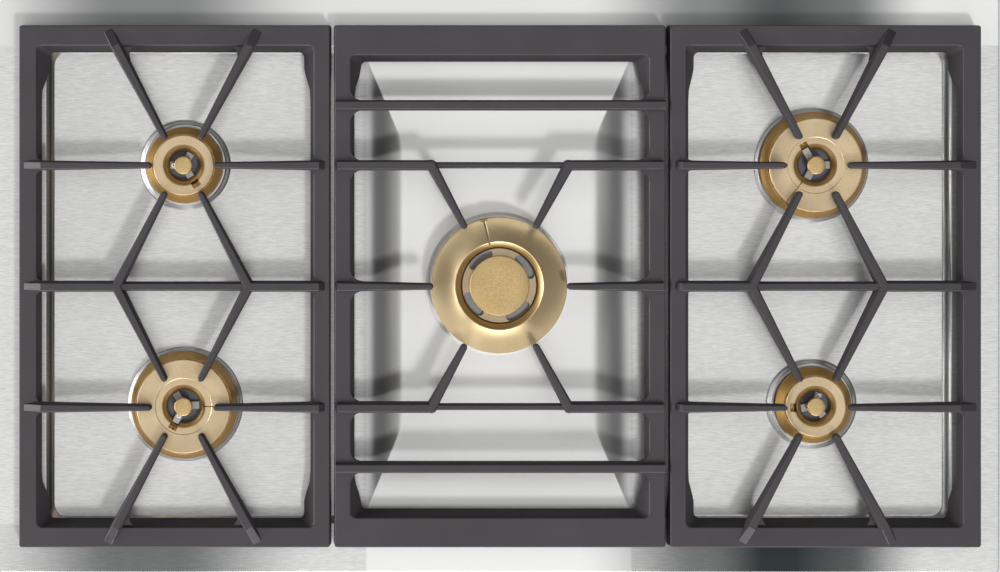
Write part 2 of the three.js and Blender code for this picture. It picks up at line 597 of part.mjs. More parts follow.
// The dark flame ring: a cone with radial flame ports milled across its top.
function flameRing(size) {
  const { skirtGap, skirtWall, skirtDepth, rimRound, boreFlare, portWidth, portDepth } = BURNER;
  const skirt = size.cup - BURNER.wall - skirtGap;
  const skirtEnd = BASE_SEAT - skirtDepth;
  const rim = PLATE_TOP + BURNER.rim;
  const top = PLATE_TOP + BURNER.top;
  const inner = size.hole + BURNER.bore;
  const shoulder = size.lid + EPS;
  const ring = revolve([[skirt - skirtWall, skirtEnd], [skirt, skirtEnd], [skirt, BASE_SEAT],
    [size.base, BASE_SEAT], [size.base, rim], [size.base - rimRound, rim + rimRound], [shoulder, top],
    [inner + boreFlare, top], [inner, top - boreFlare], [inner, top - 2 * boreFlare]], size.segments);
  const portStart = inner + boreFlare + EPS;
  const slot = box(portStart, size.base, -portWidth / 2, portWidth / 2, top - portDepth, top + EPS);
  const ports = [];
  for (let i = 0; i < size.ports; i += 1) {
    ports.push(turned(slot, (360 * (i + 0.5)) / size.ports));
  }
  return cut(ring, ports);
}

// The light lid: a flat or rounded crown that dips in a funnel to its middle hole.
function lidRing(size, notch, slit) {
  const { lidTop, lidChamfer, funnelDepth, bore, slit: slitWidth, slitDepth } = BURNER;
  const { hole, funnel, step, dip, lid } = size;
  const crown = PLATE_TOP + lidTop;
  const funnelFoot = crown - funnelDepth;
  const inside = hole + bore / 2;
  const profile = [[hole, funnelFoot - bore / 2], [hole, funnelFoot]];
  for (let i = 1; i <= 3; i += 1) {
    const [across, up] = placed(1, 30 * i);
    profile.push([hole + funnel * (1 - across), funnelFoot + (funnelDepth - dip) * up]);
  }
  if (step > 0) {
    profile.push([step, crown - dip], [step + dip / 2, crown - dip / 2]);
  }
  profile.push([lid - lidChamfer, crown], [lid, crown - lidChamfer], [lid - CLEARANCE, LID_SEAT],
    [inside + bore / 2, LID_SEAT], [inside, funnelFoot - bore / 2]);
  const half = NOTCH.width / 2;
  const notchStart = step > 0 ? 0 : NOTCH.at - half;
  const opening = box(notchStart, NOTCH.at + half, -half, half, LID_SEAT - NOTCH.depth, crown + EPS);
  const cuts = [turned(opening, notch)];
  if (slit !== null) {
    const line = box(hole - EPS, lid + EPS, -slitWidth / 2, slitWidth / 2, crown - slitDepth, crown + EPS);
    cuts.push(turned(line, slit));
  }
  return cut(revolve(profile, size.segments), cuts);
}

function smallCap() {
  const { radius, round, crown } = CAP;
  const seat = PLATE_TOP + POST.columnTop + CLEARANCE;
  const top = PLATE_TOP + CAP.top;
  return revolve([[0, seat], [radius - 2 * round, seat], [radius, seat + 2 * round],
    [radius, top - crown - round], [radius - round, top - crown], [0, top]], CAP.segments);
}

function igniterPin(tip) {
  const { radius, electrode, bare } = IGNITER;
  return revolve([[0, CUP_FLOOR], [radius, CUP_FLOOR], [radius, tip - bare], [electrode, tip - bare],
    [electrode, tip], [0, tip]], SIDES.pin);
}

// On a large burner the electrode's holder also lies as an arm in the lid's slot.
function igniterArm() {
  const { arm, armWidth, at: centre, tip } = IGNITER;
  const lug = PLATE_TOP + POST.lugTop + CLEARANCE;
  return box(0, arm - centre, -armWidth / 2, armWidth / 2, lug, PLATE_TOP + tip);
}

// The jet: a hexagon block under the cup floor with its nozzle standing in the cup.
function gasJet(floor) {
  const seat = floor - CLEARANCE;
  const tip = seat + JET.nozzleHeight;
  const block = cylinder(JET.hex, seat - JET.block, seat, SIDES.pin);
  const nozzle = revolve([[0, seat - EPS], [JET.nozzle, seat - EPS], [JET.nozzle, tip - JET.taper],
    [JET.mouth, tip], [0, tip]], SIDES.bore);
  return join([block, nozzle]);
}

for (const { name, x, y, size, igniter, notch, slit } of CORNERS) {
  const group = new THREE.Group();
  group.position.set(x, y, 0);
  cooktop.add(group);
  const pin = igniterPin(PLATE_TOP + IGNITER.tip);
  const electrode = size === LARGE ? join([pin, igniterArm()]) : pin;
  addNode(`burner_cup_${name}`, burnerCup(size, igniter), aluminium, group);
  addNode(`inner_burner_${name}`, innerBurner(igniter), aluminium, group);
  addNode(`flame_ring_${name}`, flameRing(size), darkBrass, group);
  addNode(`burner_lid_${name}`, lidRing(size, notch, slit), lightBrass, group);
  addNode(`burner_cap_${name}`, smallCap(), capBrass, group);
  addNode(`igniter_${name}`, turned(at(electrode, IGNITER.at, 0), igniter), ceramic, group);
  addNode(`gas_jet_${name}`, gasJet(CUP_FLOOR), lightBrass, group);
}

// ---------------------------------------------------------------- wok burner

const WOK_SEAT = TROUGH_FLOOR + WOK.collar;
const WOK_SHELF = PLATE_TOP + WOK.headTop - WOK.headHeight;

// The wok cup: an outer gas ring, an inner wall with the shelf that carries the head, and the jet's column.
function wokCup() {
  const { wall, flange, flangeThickness } = BURNER;
  const { cup, shelf } = WOK;
  const floor = CUP_FLOOR + wall;
  const under = TROUGH_FLOOR - PLATE.thickness - CLEARANCE;
  const rim = WOK_SEAT - PLATE.thickness - CLEARANCE;
  const reach = collarRadii(WOK).foot + flange;
  const inner = WOK.head - 2;
  const columnTop = WOK_SHELF - flangeThickness;
  const body = revolve([[0, CUP_FLOOR], [cup, CUP_FLOOR], [cup, under - flangeThickness],
    [reach, under - flangeThickness], [reach, under], [cup, under], [cup, rim], [cup - wall, rim],
    [cup - wall, floor], [inner, floor], [inner, WOK_SHELF], [inner - shelf, WOK_SHELF],
    [inner - shelf, floor], [POST.column, floor], [POST.column, columnTop], [0, columnTop]], SIDES.housing);
  const bores = WOK_JETS.map(({ x, y }) => floorBore(JET.nozzle, x, y));
  const [ix, iy] = placed(WOK.igniterRadius, WOK.igniterAngle);
  const igniterBore = at(
    cylinder(IGNITER.radius + CLEARANCE, CUP_FLOOR - EPS, WOK_SHELF + EPS, SIDES.bore), ix, iy);
  const jetWell = cylinder(JET.nozzle + CLEARANCE, CUP_FLOOR, JET_TOP + JET.well, SIDES.bore);
  const port = airPort(POST.column);
  return cut(body, [...bores, igniterBore, jetWell, port, turned(port, 180)]);
}

// The wide outer ring: a hollow cone with a row of flame ports low on its outer wall.
function wokRing() {
  const { base, lip, throat, rimRound, wall } = WOK;
  const seat = WOK_SEAT + CLEARANCE;
  const skirt = seat + WOK.skirt;
  const rim = PLATE_TOP + WOK.rim;
  const top = PLATE_TOP + WOK.ringTop;
  const shell = revolve([[base, seat], [base, rim], [base - rimRound, rim + rimRound],
    [lip + rimRound, top], [lip, top], [throat, top - wall], [throat, skirt], [throat + wall, skirt],
    [throat + wall, top - 2 * wall], [base - wall, rim - wall], [base - wall, seat]], WOK.segments);
  const portTop = PLATE_TOP + WOK.portTop;
  const port = box(
    base - wall - EPS, base + EPS, -WOK.portWidth / 2, WOK.portWidth / 2, portTop - WOK.portDepth, portTop);
  const ports = [];
  for (let i = 0; i < WOK.ports; i += 1) {
    ports.push(turned(port, (360 * i) / WOK.ports));
  }
  return cut(shell, [...ports, turned(crossover(rim, top), WOK.crossover)]);
}

// The thin line across the cone that carries the flame over, cut to an even depth.
function crossover(rim, top) {
  const { base, lip, rimRound } = WOK;
  const half = BURNER.slit / 2;
  const line = box(lip - EPS, base + EPS, -half, half, rim - half, top + EPS);
  const under = revolve([[0, rim - EPS], [base + EPS, rim - EPS], [base, rim], [lip, top - rimRound],
    [0, top - rimRound]], WOK.segments);
  return line.subtract(under);
}

// The inner head: a disc on a hollow skirt, with four kidney slots round its edge.
function wokHead() {
  const { head, headDisc, rimRound } = WOK;
  const top = PLATE_TOP + WOK.headTop;
  const foot = WOK_SHELF + CLEARANCE;
  const hollow = head - 2 - WOK.shelf;
  const body = revolve([[0, top - headDisc], [hollow, top - headDisc], [hollow, foot], [head - 2, foot],
    [head, foot + headDisc], [head, top - rimRound], [head - rimRound, top], [0, top]], WOK.segments);
  const slots = [0, 90, 180, 270].map((turn) => turned(kidney(foot, top), 45 + WOK.slotTurn + turn));
  return cut(body, slots);
}

// A slot bent round the head's middle, with round ends.
function kidney(z0, z1) {
  const { slotInner, slotOuter } = WOK;
  const half = WOK.slotSpan / 2;
  const middle = (slotInner + slotOuter) / 2;
  const end = (slotOuter - slotInner) / 2;
  const endArc = (angle, start) => [1, 2, 3].map((i) => {
    const [x, y] = placed(middle, angle);
    const [dx, dy] = placed(end, start + 45 * i);
    return [x + dx, y + dy];
  });
  const steps = [-half, -half / 2, 0, half / 2, half];
  const outline = [
    ...steps.map((angle) => placed(slotOuter, angle)), ...endArc(half, half),
    ...steps.reverse().map((angle) => placed(slotInner, angle)), ...endArc(-half, 180 - half)];
  return prism(outline, z0 - EPS, z1 + EPS);
}

function wokCap() {
  const { cap, headTop, capTop } = WOK;
  const seat = PLATE_TOP + headTop + CLEARANCE;
  const top = PLATE_TOP + capTop;
  return revolve([[0, seat], [cap - EPS, seat], [cap, seat + EPS], [cap, top - CAP.crown - CAP.round],
    [cap - CAP.round, top - CAP.crown], [0, top]], SIDES.wokCap);
}

const wokIgniter = () => at(
  igniterPin(WOK_SHELF + WOK.igniterRise), ...placed(WOK.igniterRadius, WOK.igniterAngle));

addNode('burner_cup_wok', wokCup(), aluminium);
addNode('flame_ring_wok', wokRing(), lightBrass);
addNode('burner_head_wok', wokHead(), lightBrass);
addNode('burner_cap_wok', wokCap(), capBrass);
addNode('igniter_wok', wokIgniter(), ceramic);
for (const { name, x, y } of WOK_JETS) {
  addNode(`gas_jet_${name}`, at(gasJet(CUP_FLOOR), x, y), lightBrass);
}

// ---------------------------------------------------------------- gas supply

const OUTLETS = [...CORNERS, ...WOK_JETS];

// The manifold is one tube along the rear wall, closed at its ends, with the inlet pipe through the wall.
function gasManifold() {
  const { rail, wall, inlet, inletReach } = GAS;
  const halfLength = INLET_X + 2 * rail;
  const z = GAS.z + rail;
  const run = cylinder(rail, -halfLength, halfLength, SIDES.manifold).rotate([0, 90, 0]);
  const stub = cylinder(inlet, 0, TRAY_Y + inletReach - MANIFOLD_Y, SIDES.tube).rotate([-90, 0, 0]);
  const bore = cylinder(inlet - wall, 0, inletReach, SIDES.tube).rotate([-90, 0, 0]);
  const tubes = join([at(run, 0, MANIFOLD_Y, z), at(stub, INLET_X, MANIFOLD_Y, z)]);
  return cut(tubes, [at(bore, INLET_X, TRAY_Y + EPS, z)]);
}

const VALVE_BACK = MANIFOLD_Y - GAS.rail - CLEARANCE;
const VALVE_FRONT = VALVE_BACK - GAS.valveDepth;

function gasValve(x) {
  const half = GAS.valveWidth / 2;
  const top = GAS.z + GAS.valveHeight;
  const body = box(x - half, x + half, VALVE_FRONT, VALVE_BACK, GAS.z - GAS.valveDrop, top);
  const drum = cylinder(half - GAS.wall, top - EPS, top + GAS.coil, SIDES.drum);
  return join([body, at(drum, x, VALVE_FRONT + GAS.valveDepth / 2)]);
}

// A pipe from its valve straight forward, then round one bend to the side of its jet.
function gasPipe({ x, y, valveX }) {
  const start = VALVE_FRONT - CLEARANCE;
  const side = Math.sign(valveX - x);
  const end = x + side * (JET.hex + CLEARANCE);
  const path = new THREE.CurvePath();
  const corner = new THREE.Vector3(valveX, y, 0);
  const before = new THREE.Vector3(valveX, y + GAS.bend, 0);
  const after = new THREE.Vector3(valveX - side * GAS.bend, y, 0);
  path.add(new THREE.LineCurve3(new THREE.Vector3(valveX, start, 0), before));
  path.add(new THREE.QuadraticBezierCurve3(before, corner, after));
  path.add(new THREE.LineCurve3(after, new THREE.Vector3(end, y, 0)));
  return at(sweep(path, GAS.pipe, SIDES.pin), 0, 0, CUP_FLOOR - JET.block / 2 - CLEARANCE);
}

// A round section carried along a level path of a line, a bend and a line.
function sweep(path, radius, sides) {
  const [first, bend, last] = path.curves;
  const points = [first.getPoint(0), ...bend.getPoints(4), last.getPoint(1)];
  const rings = points.map((point, i) => {
    const before = points[Math.max(i - 1, 0)];
    const after = points[Math.min(i + 1, points.length - 1)];
    const ahead = after.clone().sub(before).normalize();
    const across = new THREE.Vector3(-ahead.y, ahead.x, 0);
    return Array.from({ length: sides }, (_, k) => {
      const angle = (2 * Math.PI * k) / sides;
      return point.clone().addScaledVector(across, radius * Math.cos(angle)).add(
        new THREE.Vector3(0, 0, radius * Math.sin(angle)));
    });
  });
  const positions = rings.flat().flatMap((p) => [p.x, p.y, p.z]);
  const top = (rings.length - 1) * sides;
  const faces = [];
  for (let k = 1; k < sides - 1; k += 1) {
    faces.push(0, k + 1, k, top, top + k, top + k + 1);
  }
  for (let i = 0; i < rings.length - 1; i += 1) {
    for (let k = 0; k < sides; k += 1) {
      const a = i * sides + k;
      const b = i * sides + ((k + 1) % sides);
      faces.push(a, b, b + sides, a, b + sides, a + sides);
    }
  }
  const geometry = new THREE.BufferGeometry();
  geometry.setAttribute('position', new THREE.BufferAttribute(new Float32Array(positions), 3));
  geometry.setIndex(faces);
  return toSolid(geometry);
}

addNode('gas_manifold', gasManifold(), zinc);
for (const outlet of OUTLETS) {
  addNode(`gas_valve_${outlet.name}`, gasValve(outlet.valveX), lightBrass);
  addNode(`gas_pipe_${outlet.name}`, gasPipe(outlet), zinc);
}

function ignitionBox() {
  const { width, depth, height, corner, ear, earWidth, earThickness, x, y } = IGNITION_BOX;
  const floor = HOUSING.wall + CLEARANCE;
  const halfEars = width / 2 + ear;
  const body = prism(roundedRectangle(width / 2, depth / 2, corner), floor, floor + height);
  const ears = box(-halfEars, halfEars, -earWidth / 2, earWidth / 2, floor, floor + earThickness);
  return at(join([body, ears]), x, y);
}

addNode('ignition_box', ignitionBox(), blackPlastic);

export default cooktop;
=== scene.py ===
"""A built-in gas cooktop seen from above: brushed steel, cast pan supports and brass burners.

Lengths are millimetres in the part's frame, with PLATE_TOP as the level of the plate's rim, until a mesh
is made. X is to the right, Y to the back and Z up.
"""
from math import atan2, copysign, cos, degrees, hypot, radians, sin

import bmesh
import bpy
from mathutils import Matrix, Vector


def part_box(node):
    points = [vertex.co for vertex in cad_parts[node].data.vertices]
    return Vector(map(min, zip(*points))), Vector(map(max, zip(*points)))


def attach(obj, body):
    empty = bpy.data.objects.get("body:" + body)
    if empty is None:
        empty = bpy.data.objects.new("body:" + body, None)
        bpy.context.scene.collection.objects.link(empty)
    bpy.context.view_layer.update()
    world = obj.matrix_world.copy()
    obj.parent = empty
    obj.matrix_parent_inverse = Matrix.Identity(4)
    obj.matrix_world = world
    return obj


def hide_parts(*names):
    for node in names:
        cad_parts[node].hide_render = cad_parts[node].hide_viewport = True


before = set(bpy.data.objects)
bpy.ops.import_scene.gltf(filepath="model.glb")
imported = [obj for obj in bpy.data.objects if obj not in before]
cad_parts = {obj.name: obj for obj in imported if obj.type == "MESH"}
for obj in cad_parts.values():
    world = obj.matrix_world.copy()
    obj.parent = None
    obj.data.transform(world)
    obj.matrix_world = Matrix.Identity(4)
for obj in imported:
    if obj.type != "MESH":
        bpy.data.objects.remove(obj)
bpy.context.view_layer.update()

MM = 0.001
BASE = "cooktop_base"  # the body that stands still


def node_box(node):
    """A node's lowest and highest corners, in millimetres."""
    low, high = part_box(node)
    return [c / MM for c in low], [c / MM for c in high]


def node_middle(node):
    low, high = node_box(node)
    return (low[0] + high[0]) / 2, (low[1] + high[1]) / 2


def flame_ring_place(name):
    """A flame ring's middle and its radius."""
    low, high = node_box(f"flame_ring_{name}")
    return node_middle(f"flame_ring_{name}"), (high[0] - low[0]) / 2


SEAL_TO_TOP = 1.8  # from the strip under the rim up to the plate's top
HALF_WIDTH, HALF_DEPTH, _ = node_box("cooktop_plate")[1]
PLATE_TOP = node_box("rim_seal")[1][2] + SEAL_TO_TOP
ROUND = 128  # faces round a turned piece

# ---- camera and light

VIEW_HEIGHT = 2000.0  # of the lens above the plate
VIEW_X, VIEW_Y = -113.3, 124.3  # the point of the plate straight below the lens
FRAME_WIDTH = 1000.0  # the picture's width in pixels
PIXELS_PER_MM = 1.0955  # at the level of the plate
LENS_X, LENS_Y = 374.6, 148.7  # the pixel of that same point
MIDDLE_X, MIDDLE_Y = 500.0, 286.0  # the picture's middle
SENSOR = 36.0

# The bright oval in the studio dome overhead, in units of the dome's radius.
PANEL = {"reach_x": 1.0, "reach_y": 1.6, "forward": 0.25, "edge": 0.42, "end": 0.62, "light": 0.70,
         "dark": 0.06}
# Each lamp's name, place, size, power, and the kind of light that it doesn't give.
LAMPS = [
    ("side", (-4500, -300, 1100), (3200, 2000), 160.0, None),
    ("glint", (1400, 3000, 5000), (1500, 1000), 10.0, "visible_diffuse"),
    ("front", (-200, -4500, 1100), (3600, 1600), 110.0, "visible_diffuse"),
    ("key", (1600, -3000, 5600), (850, 850), 310.0, "visible_glossy"),
]
LAMP_AIM = (0.0, 0.0, 60.0)
FLOOR = {"half": 4000.0, "level": -0.4, "grey": 0.70}

# ---- plate

RIM = 43.5
BEND = 7.5
RECESS_DROP = 7.0
RIM_CORNER = 18.0
TROUGH = {"half_x": 120.0, "half_y": HALF_DEPTH - 55.5, "floor_x": 84.5, "floor_y": 123.0, "drop": 13.0,
          "corner": 1.2}
SHEET = 1.5
SHEET_SHOWN = 1.35  # a little thinner, clear of what lies under the plate
HEM = 3.0
PLATE_CORNER = 3.0
EDGE_ROUND = 0.9
SMALL_COLLAR = {"gap": 1.5, "slope": 5.5, "rise": 4.5, "crowned": False}
LARGE_COLLAR = {"gap": 0.5, "slope": 3.5, "rise": 3.6, "crowned": False}
WOK_COLLAR = {"gap": 0.4, "slope": 3.9, "rise": 3.2, "crowned": True}
COLLAR_LIP = 2.0
PLATE_STEPS = {"side": 24, "corner": 8, "edge": 4, "bend": 16, "slope": 24, "collar": 8}

# Dark reflections painted onto the front and back rims: middle, core and reach along X, and depth.
PAINTED_RIM_REFLECTIONS = [(-321.0, 25.0, 165.0, 0.72), (205.0, 20.0, 135.0, 0.72), (290.0, 30.0, 105.0, 0.80)]
FRONT_RIM_REFLECTION_STRENGTH = 1.12  # of the front rim's painted reflections, beside the back rim's
BEND_REFLECTION_DEPTH = 0.9  # depth of the dark reflection painted on the bend at the recess's two sides
TROUGH_SIDE_REFLECTION = (108.0, 1.0, 22.5, 0.70)  # the dark reflection painted down each side slope of the trough, given in the same way
MITRE_BLUR = 0.03  # how softly the mitres cut it off
TROUGH_PAINTED_LIGHT = 0.9  # how far the trough's steel is painted lighter, towards the pale steel
# The colour of the dark reflections painted on the rims, the side bends and the trough's sides.
PAINTED_REFLECTION_STEEL = (0.035, 0.045, 0.045)
# The colour of the light painted on the back rim and in the trough.
PAINTED_LIGHT_STEEL = (1.0, 1.0, 0.99)
# How metallic the plate is on steep sheet outside the trough and on the wok burner's collar. Level sheet lies
# halfway, and a pull over 1 lets the collar reach its value before it is at its steepest.
METAL = {"steep": 1.0, "wok_collar": 0.24, "pull": 1.3}
# How much a face looks up where it starts to count as steep, and where it fully does.
STEEP = {"from": 0.998, "to": 0.95}
WOK_COLLAR_END = 75.0

# ---- pan supports

SUPPORT = {"rail": 22.0, "lift": 3.0, "draft": 0.3, "flare": 0.06, "web": 3.6, "arch": 8.0, "arch_end": 34.0,
           "arch_run": 24.0, "round": 1.0, "corner": 2.5, "pocket_corner": 5.0, "crease": 21.0}
RAILS = {"outer": 15.8, "inner": 14.4, "cross": 18.0, "wide_cross": 26.5}
FINGER = {"top": 29.5, "root": 9.4, "diagonal": 10.8, "tip": 5.8, "root_height": 17.0, "tip_height": 11.0,
          "setback": 4.4, "ramp": 16.0, "inner_ramp": 5.3, "reach": 28.1, "tip_x": 15.5, "tip_y": 23.9,
          "root_x": 67.7, "node": 59.6, "fillet": 6.0, "root_fillet": 9.0, "flank": 5.0, "draft": 0.78,
          "round": 1.0, "narrowest": 2.6, "nose_drop": 0.9}
LOW_BAR = {"width": 8.0, "top": 27.4, "height": 15.0}
WOK_FINGER = {"reach": 60.4, "tip_x": 31.3, "tip_y": 52.2, "bend": 62.0, "bar_y": 163.5, "bridge_top": 23.0,
              "bridge": 5.8, "bridge_height": 11.0, "inset": 0.8, "fillet": 11.5}
KNUCKLE = {"wider": 0.6, "proud": 0.06}
NOSE_ANGLES = (0, 22, 44, 62, 78)
RAMP_STEP = 0.2  # from a rail's top up to the foot of a ramp
FILLET_DROP = 0.1  # of a fillet's top below the rail's
ROOT_FILLET_DROP = 4.0
OVERLAP = 0.4  # how far a fillet reaches into what it joins

# ---- burners

CORNERS = {
    "rear_left": {"igniter": 180, "notch": 304, "slit": None},
    "front_left": {"igniter": 243, "notch": 243, "slit": 0},
    "rear_right": {"igniter": 121, "notch": 121, "slit": 231},
    "front_right": {"igniter": 71, "notch": 183, "slit": None},
}
LARGE_BASE = 40.0  # a flame ring wider than this is a large one
BASE_RIM = 4.2
BASE_TOP = 12.0
LID_TOP = 15.3
LID_GAP = 0.3  # between a lid or cap and what it rests on
LARGE = {"lid": 42.6, "hole": 14.6, "funnel": 7.6, "step": 25.3, "dip": 1.1, "rim": 2.2, "notch": 10.0,
         "ports": 36}
SMALL = {"lid": 27.4, "hole": 13.2, "funnel": 8.4, "step": 0.0, "dip": 0.6, "rim": 1.6, "notch": 3.4,
         "ports": 24}
FUNNEL_DEPTH = 6.5
SHADED_FUNNEL_SHARE = 0.7  # the share of a funnel's width that is painted darker brass, as shade down the funnel
PORT = {"start": 4.0, "end": 0.7, "width": 1.1, "height": 1.6, "drop": 0.6}
NOTCH = {"at": 19.4, "width": 7.6}
SLIT_WIDTH = 0.9
SLIT_HEIGHT = 8.0
POST = {"bore": 4.3, "radius": 6.5, "disc": 5.5, "flange": 0.6}
LUG = {"start": 4.0, "end": 0.6, "width": 6.9, "height": 4.0, "rise": 1.6, "round": 0.5}
IGNITER = {"at": 8.9, "by_arm": 1.3, "alone": 0.6, "bore": 0.9, "sleeve": 1.9, "electrode": 0.55}
ARM = {"length": 8.6, "width": 6.6, "thickness": 1.7, "at": 13.1, "drop": 2.7, "round": 0.35}
WOK = {"ring": 62.0, "lip": 39.1, "throat": 34.8, "top": 13.0, "rim": 6.0, "head": 34.0, "head_top": 8.6,
       "cap": 27.2, "cap_top": 13.4, "slot_inner": 26.4, "slot_outer": 33.5, "slot_span": 35.0,
       "slot_turn": 36.0, "slot_floor": 3.4, "slit": 103.0, "slit_height": 9.0, "ports": 40, "segments": 192}
WOK_PORT = (6.0, 1.6, 4.0)
CROSSOVER = (3.6, 6.6, 8.0)


# ---- mesh helpers

def polar(radius, angle):
    return radius * cos(radians(angle)), radius * sin(radians(angle))


def arc(cx, cz, radius, start, end, steps):
    """Points of an arc in a profile, by angle in degrees."""
    turned = [polar(radius, start + (end - start) * i / steps) for i in range(steps + 1)]
    return [(cx + x, cz + z) for x, z in turned]


def new_object(name, bm, centre=(0.0, 0.0), smooth=38.0):
    """Makes an object from a bmesh in millimetres, with its origin over centre."""
    bmesh.ops.recalc_face_normals(bm, faces=bm.faces)
    mesh = bpy.data.meshes.new(name)
    bm.to_mesh(mesh)
    bm.free()
    mesh.transform(Matrix.Scale(MM, 4))
    obj = bpy.data.objects.new(name, mesh)
    obj.location = (centre[0] * MM, centre[1] * MM, 0.0)
    bpy.context.scene.collection.objects.link(obj)
    shade(obj, smooth)
    return obj


def shade(obj, angle):
    """Smooth shading with edges sharper than the angle kept crisp."""
    for face in obj.data.polygons:
        face.use_smooth = True
    obj.data.set_sharp_from_angle(angle=radians(angle))


def applied(obj, *modifiers):
    """Adds the modifiers, given as (type, settings), and keeps their result as the mesh."""
    for kind, settings in modifiers:
        modifier = obj.modifiers.new(kind.lower(), kind)
        for key, value in settings.items():
            setattr(modifier, key, value)
    bpy.context.view_layer.update()
    graph = bpy.context.evaluated_depsgraph_get()
    mesh = bpy.data.meshes.new_from_object(obj.evaluated_get(graph))
    obj.modifiers.clear()
    old = obj.data
    obj.data = mesh
    bpy.data.meshes.remove(old)
    return obj


def cut(obj, cutters):
    """Subtracts the cutters, which are used up."""
    tool = joined(cutters)
    applied(obj, ("BOOLEAN", {
        "operation": "DIFFERENCE", "solver": "EXACT", "use_self": True, "object": tool}))
    bpy.data.objects.remove(tool)
    return obj


def joined(objects):
    """Makes one object of several, at the first one's origin."""
    first = objects[0]
    bm = bmesh.new()
    for obj in objects:
        mesh = obj.data.copy()
        mesh.transform(first.matrix_basis.inverted() @ obj.matrix_basis)
        bm.from_mesh(mesh)
        bpy.data.meshes.remove(mesh)
    bm.to_mesh(first.data)
    bm.free()
    for obj in objects[1:]:
        bpy.data.objects.remove(obj)
    return first


def round_edges(obj, width, segments=2, angle=32.0):
    """Rounds the sharp edges, so that they catch the light, and leaves the flats between them flat."""
    for face in obj.data.polygons:
        face.use_smooth = True
    return applied(obj, ("BEVEL", {
        "width": width * MM, "segments": segments, "limit_method": "ANGLE",
        "angle_limit": radians(angle), "use_clamp_overlap": True, "harden_normals": True}))


def lathe(name, profile, centre=(0.0, 0.0), segments=ROUND, closed=True, smooth=38.0):
    """A [radius, height] profile turned about the vertical line over centre."""
    bm = bmesh.new()
    rings = []
    for radius, z in profile:
        circle = arc(0, 0, radius, 0, 360, segments)[:-1] if radius > 1e-6 else [(0.0, 0.0)]
        rings.append([bm.verts.new((x, y, z)) for x, y in circle])
    pairs = list(zip(rings, rings[1:]))
    if closed:
        pairs.append((rings[-1], rings[0]))
    for lower, upper in pairs:
        for k in range(segments):
            corners = [lower[k % len(lower)], lower[(k + 1) % len(lower)],
                       upper[(k + 1) % len(upper)], upper[k % len(upper)]]
            unique = list(dict.fromkeys(corners))
            if len(unique) > 2:
                bm.faces.new(unique)
    return new_object(name, bm, centre, smooth)


def block(name, size, place, turn=0.0, centre=(0.0, 0.0), lean=0.0):
    """A box of the given size, its middle at place, turned about centre; a cutter or part of a piece."""
    bm = bmesh.new()
    bmesh.ops.create_cube(bm, size=1.0)
    bmesh.ops.scale(bm, vec=size, verts=bm.verts)
    bmesh.ops.rotate(bm, cent=(0, 0, 0), matrix=Matrix.Rotation(radians(lean), 3, "Y"), verts=bm.verts)
    bmesh.ops.translate(bm, vec=place, verts=bm.verts)
    bmesh.ops.rotate(bm, cent=(0, 0, 0), matrix=Matrix.Rotation(radians(turn), 3, "Z"), verts=bm.verts)
    return new_object(name, bm, centre)


def bridge(bm, near, far):
    """Faces between two rings of vertices."""
    for k in range(len(near)):
        nxt = (k + 1) % len(near)
        bm.faces.new((near[k], near[nxt], far[nxt], far[k]))


def skin(bm, loops):
    """Joins loops of [x, y, z] points with faces, and returns the first and last loops' vertices."""
    rows = [[bm.verts.new(p) for p in loop] for loop in loops]
    for near, far in zip(rows, rows[1:]):
        bridge(bm, near, far)
    return rows[0], rows[-1]


def capped(name, loops):
    """An object of skinned loops whose two ends are closed."""
    bm = bmesh.new()
    for end in skin(bm, loops):
        bm.faces.new(end)
    return new_object(name, bm)


def prism(name, outline, low, high):
    """An upright prism over an outline of [x, y] points; a cutter or part of a piece."""
    return capped(name, [[(x, y, z) for x, y in outline] for z in (low, high)])


def moved(obj, x, y, z=0.0, centre=(0.0, 0.0)):
    """Shifts a mesh from its origin, which then goes over centre."""
    obj.data.transform(Matrix.Translation((x * MM, y * MM, z * MM)))
    obj.location = (centre[0] * MM, centre[1] * MM, 0.0)
    return obj


def place(obj, material, node=None, body=None):
    """Gives a piece its material, the CAD node that it stands for, and its body, by default of that name."""
    obj.data.materials.clear()
    obj.data.materials.append(material)
    if node:
        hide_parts(node)
    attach(obj, body or node)
    return obj


# ---- materials

def add_node(tree, kind, inputs=None, **settings):
    """A new node with its settings, and a value or a link at each input that is named."""
    node = tree.nodes.new(kind)
    for key, value in settings.items():
        setattr(node, key, value)
    for key, value in (inputs or {}).items():
        if isinstance(value, bpy.types.NodeSocket):
            tree.links.new(value, node.inputs[key])
        else:
            node.inputs[key].default_value = value
    return node


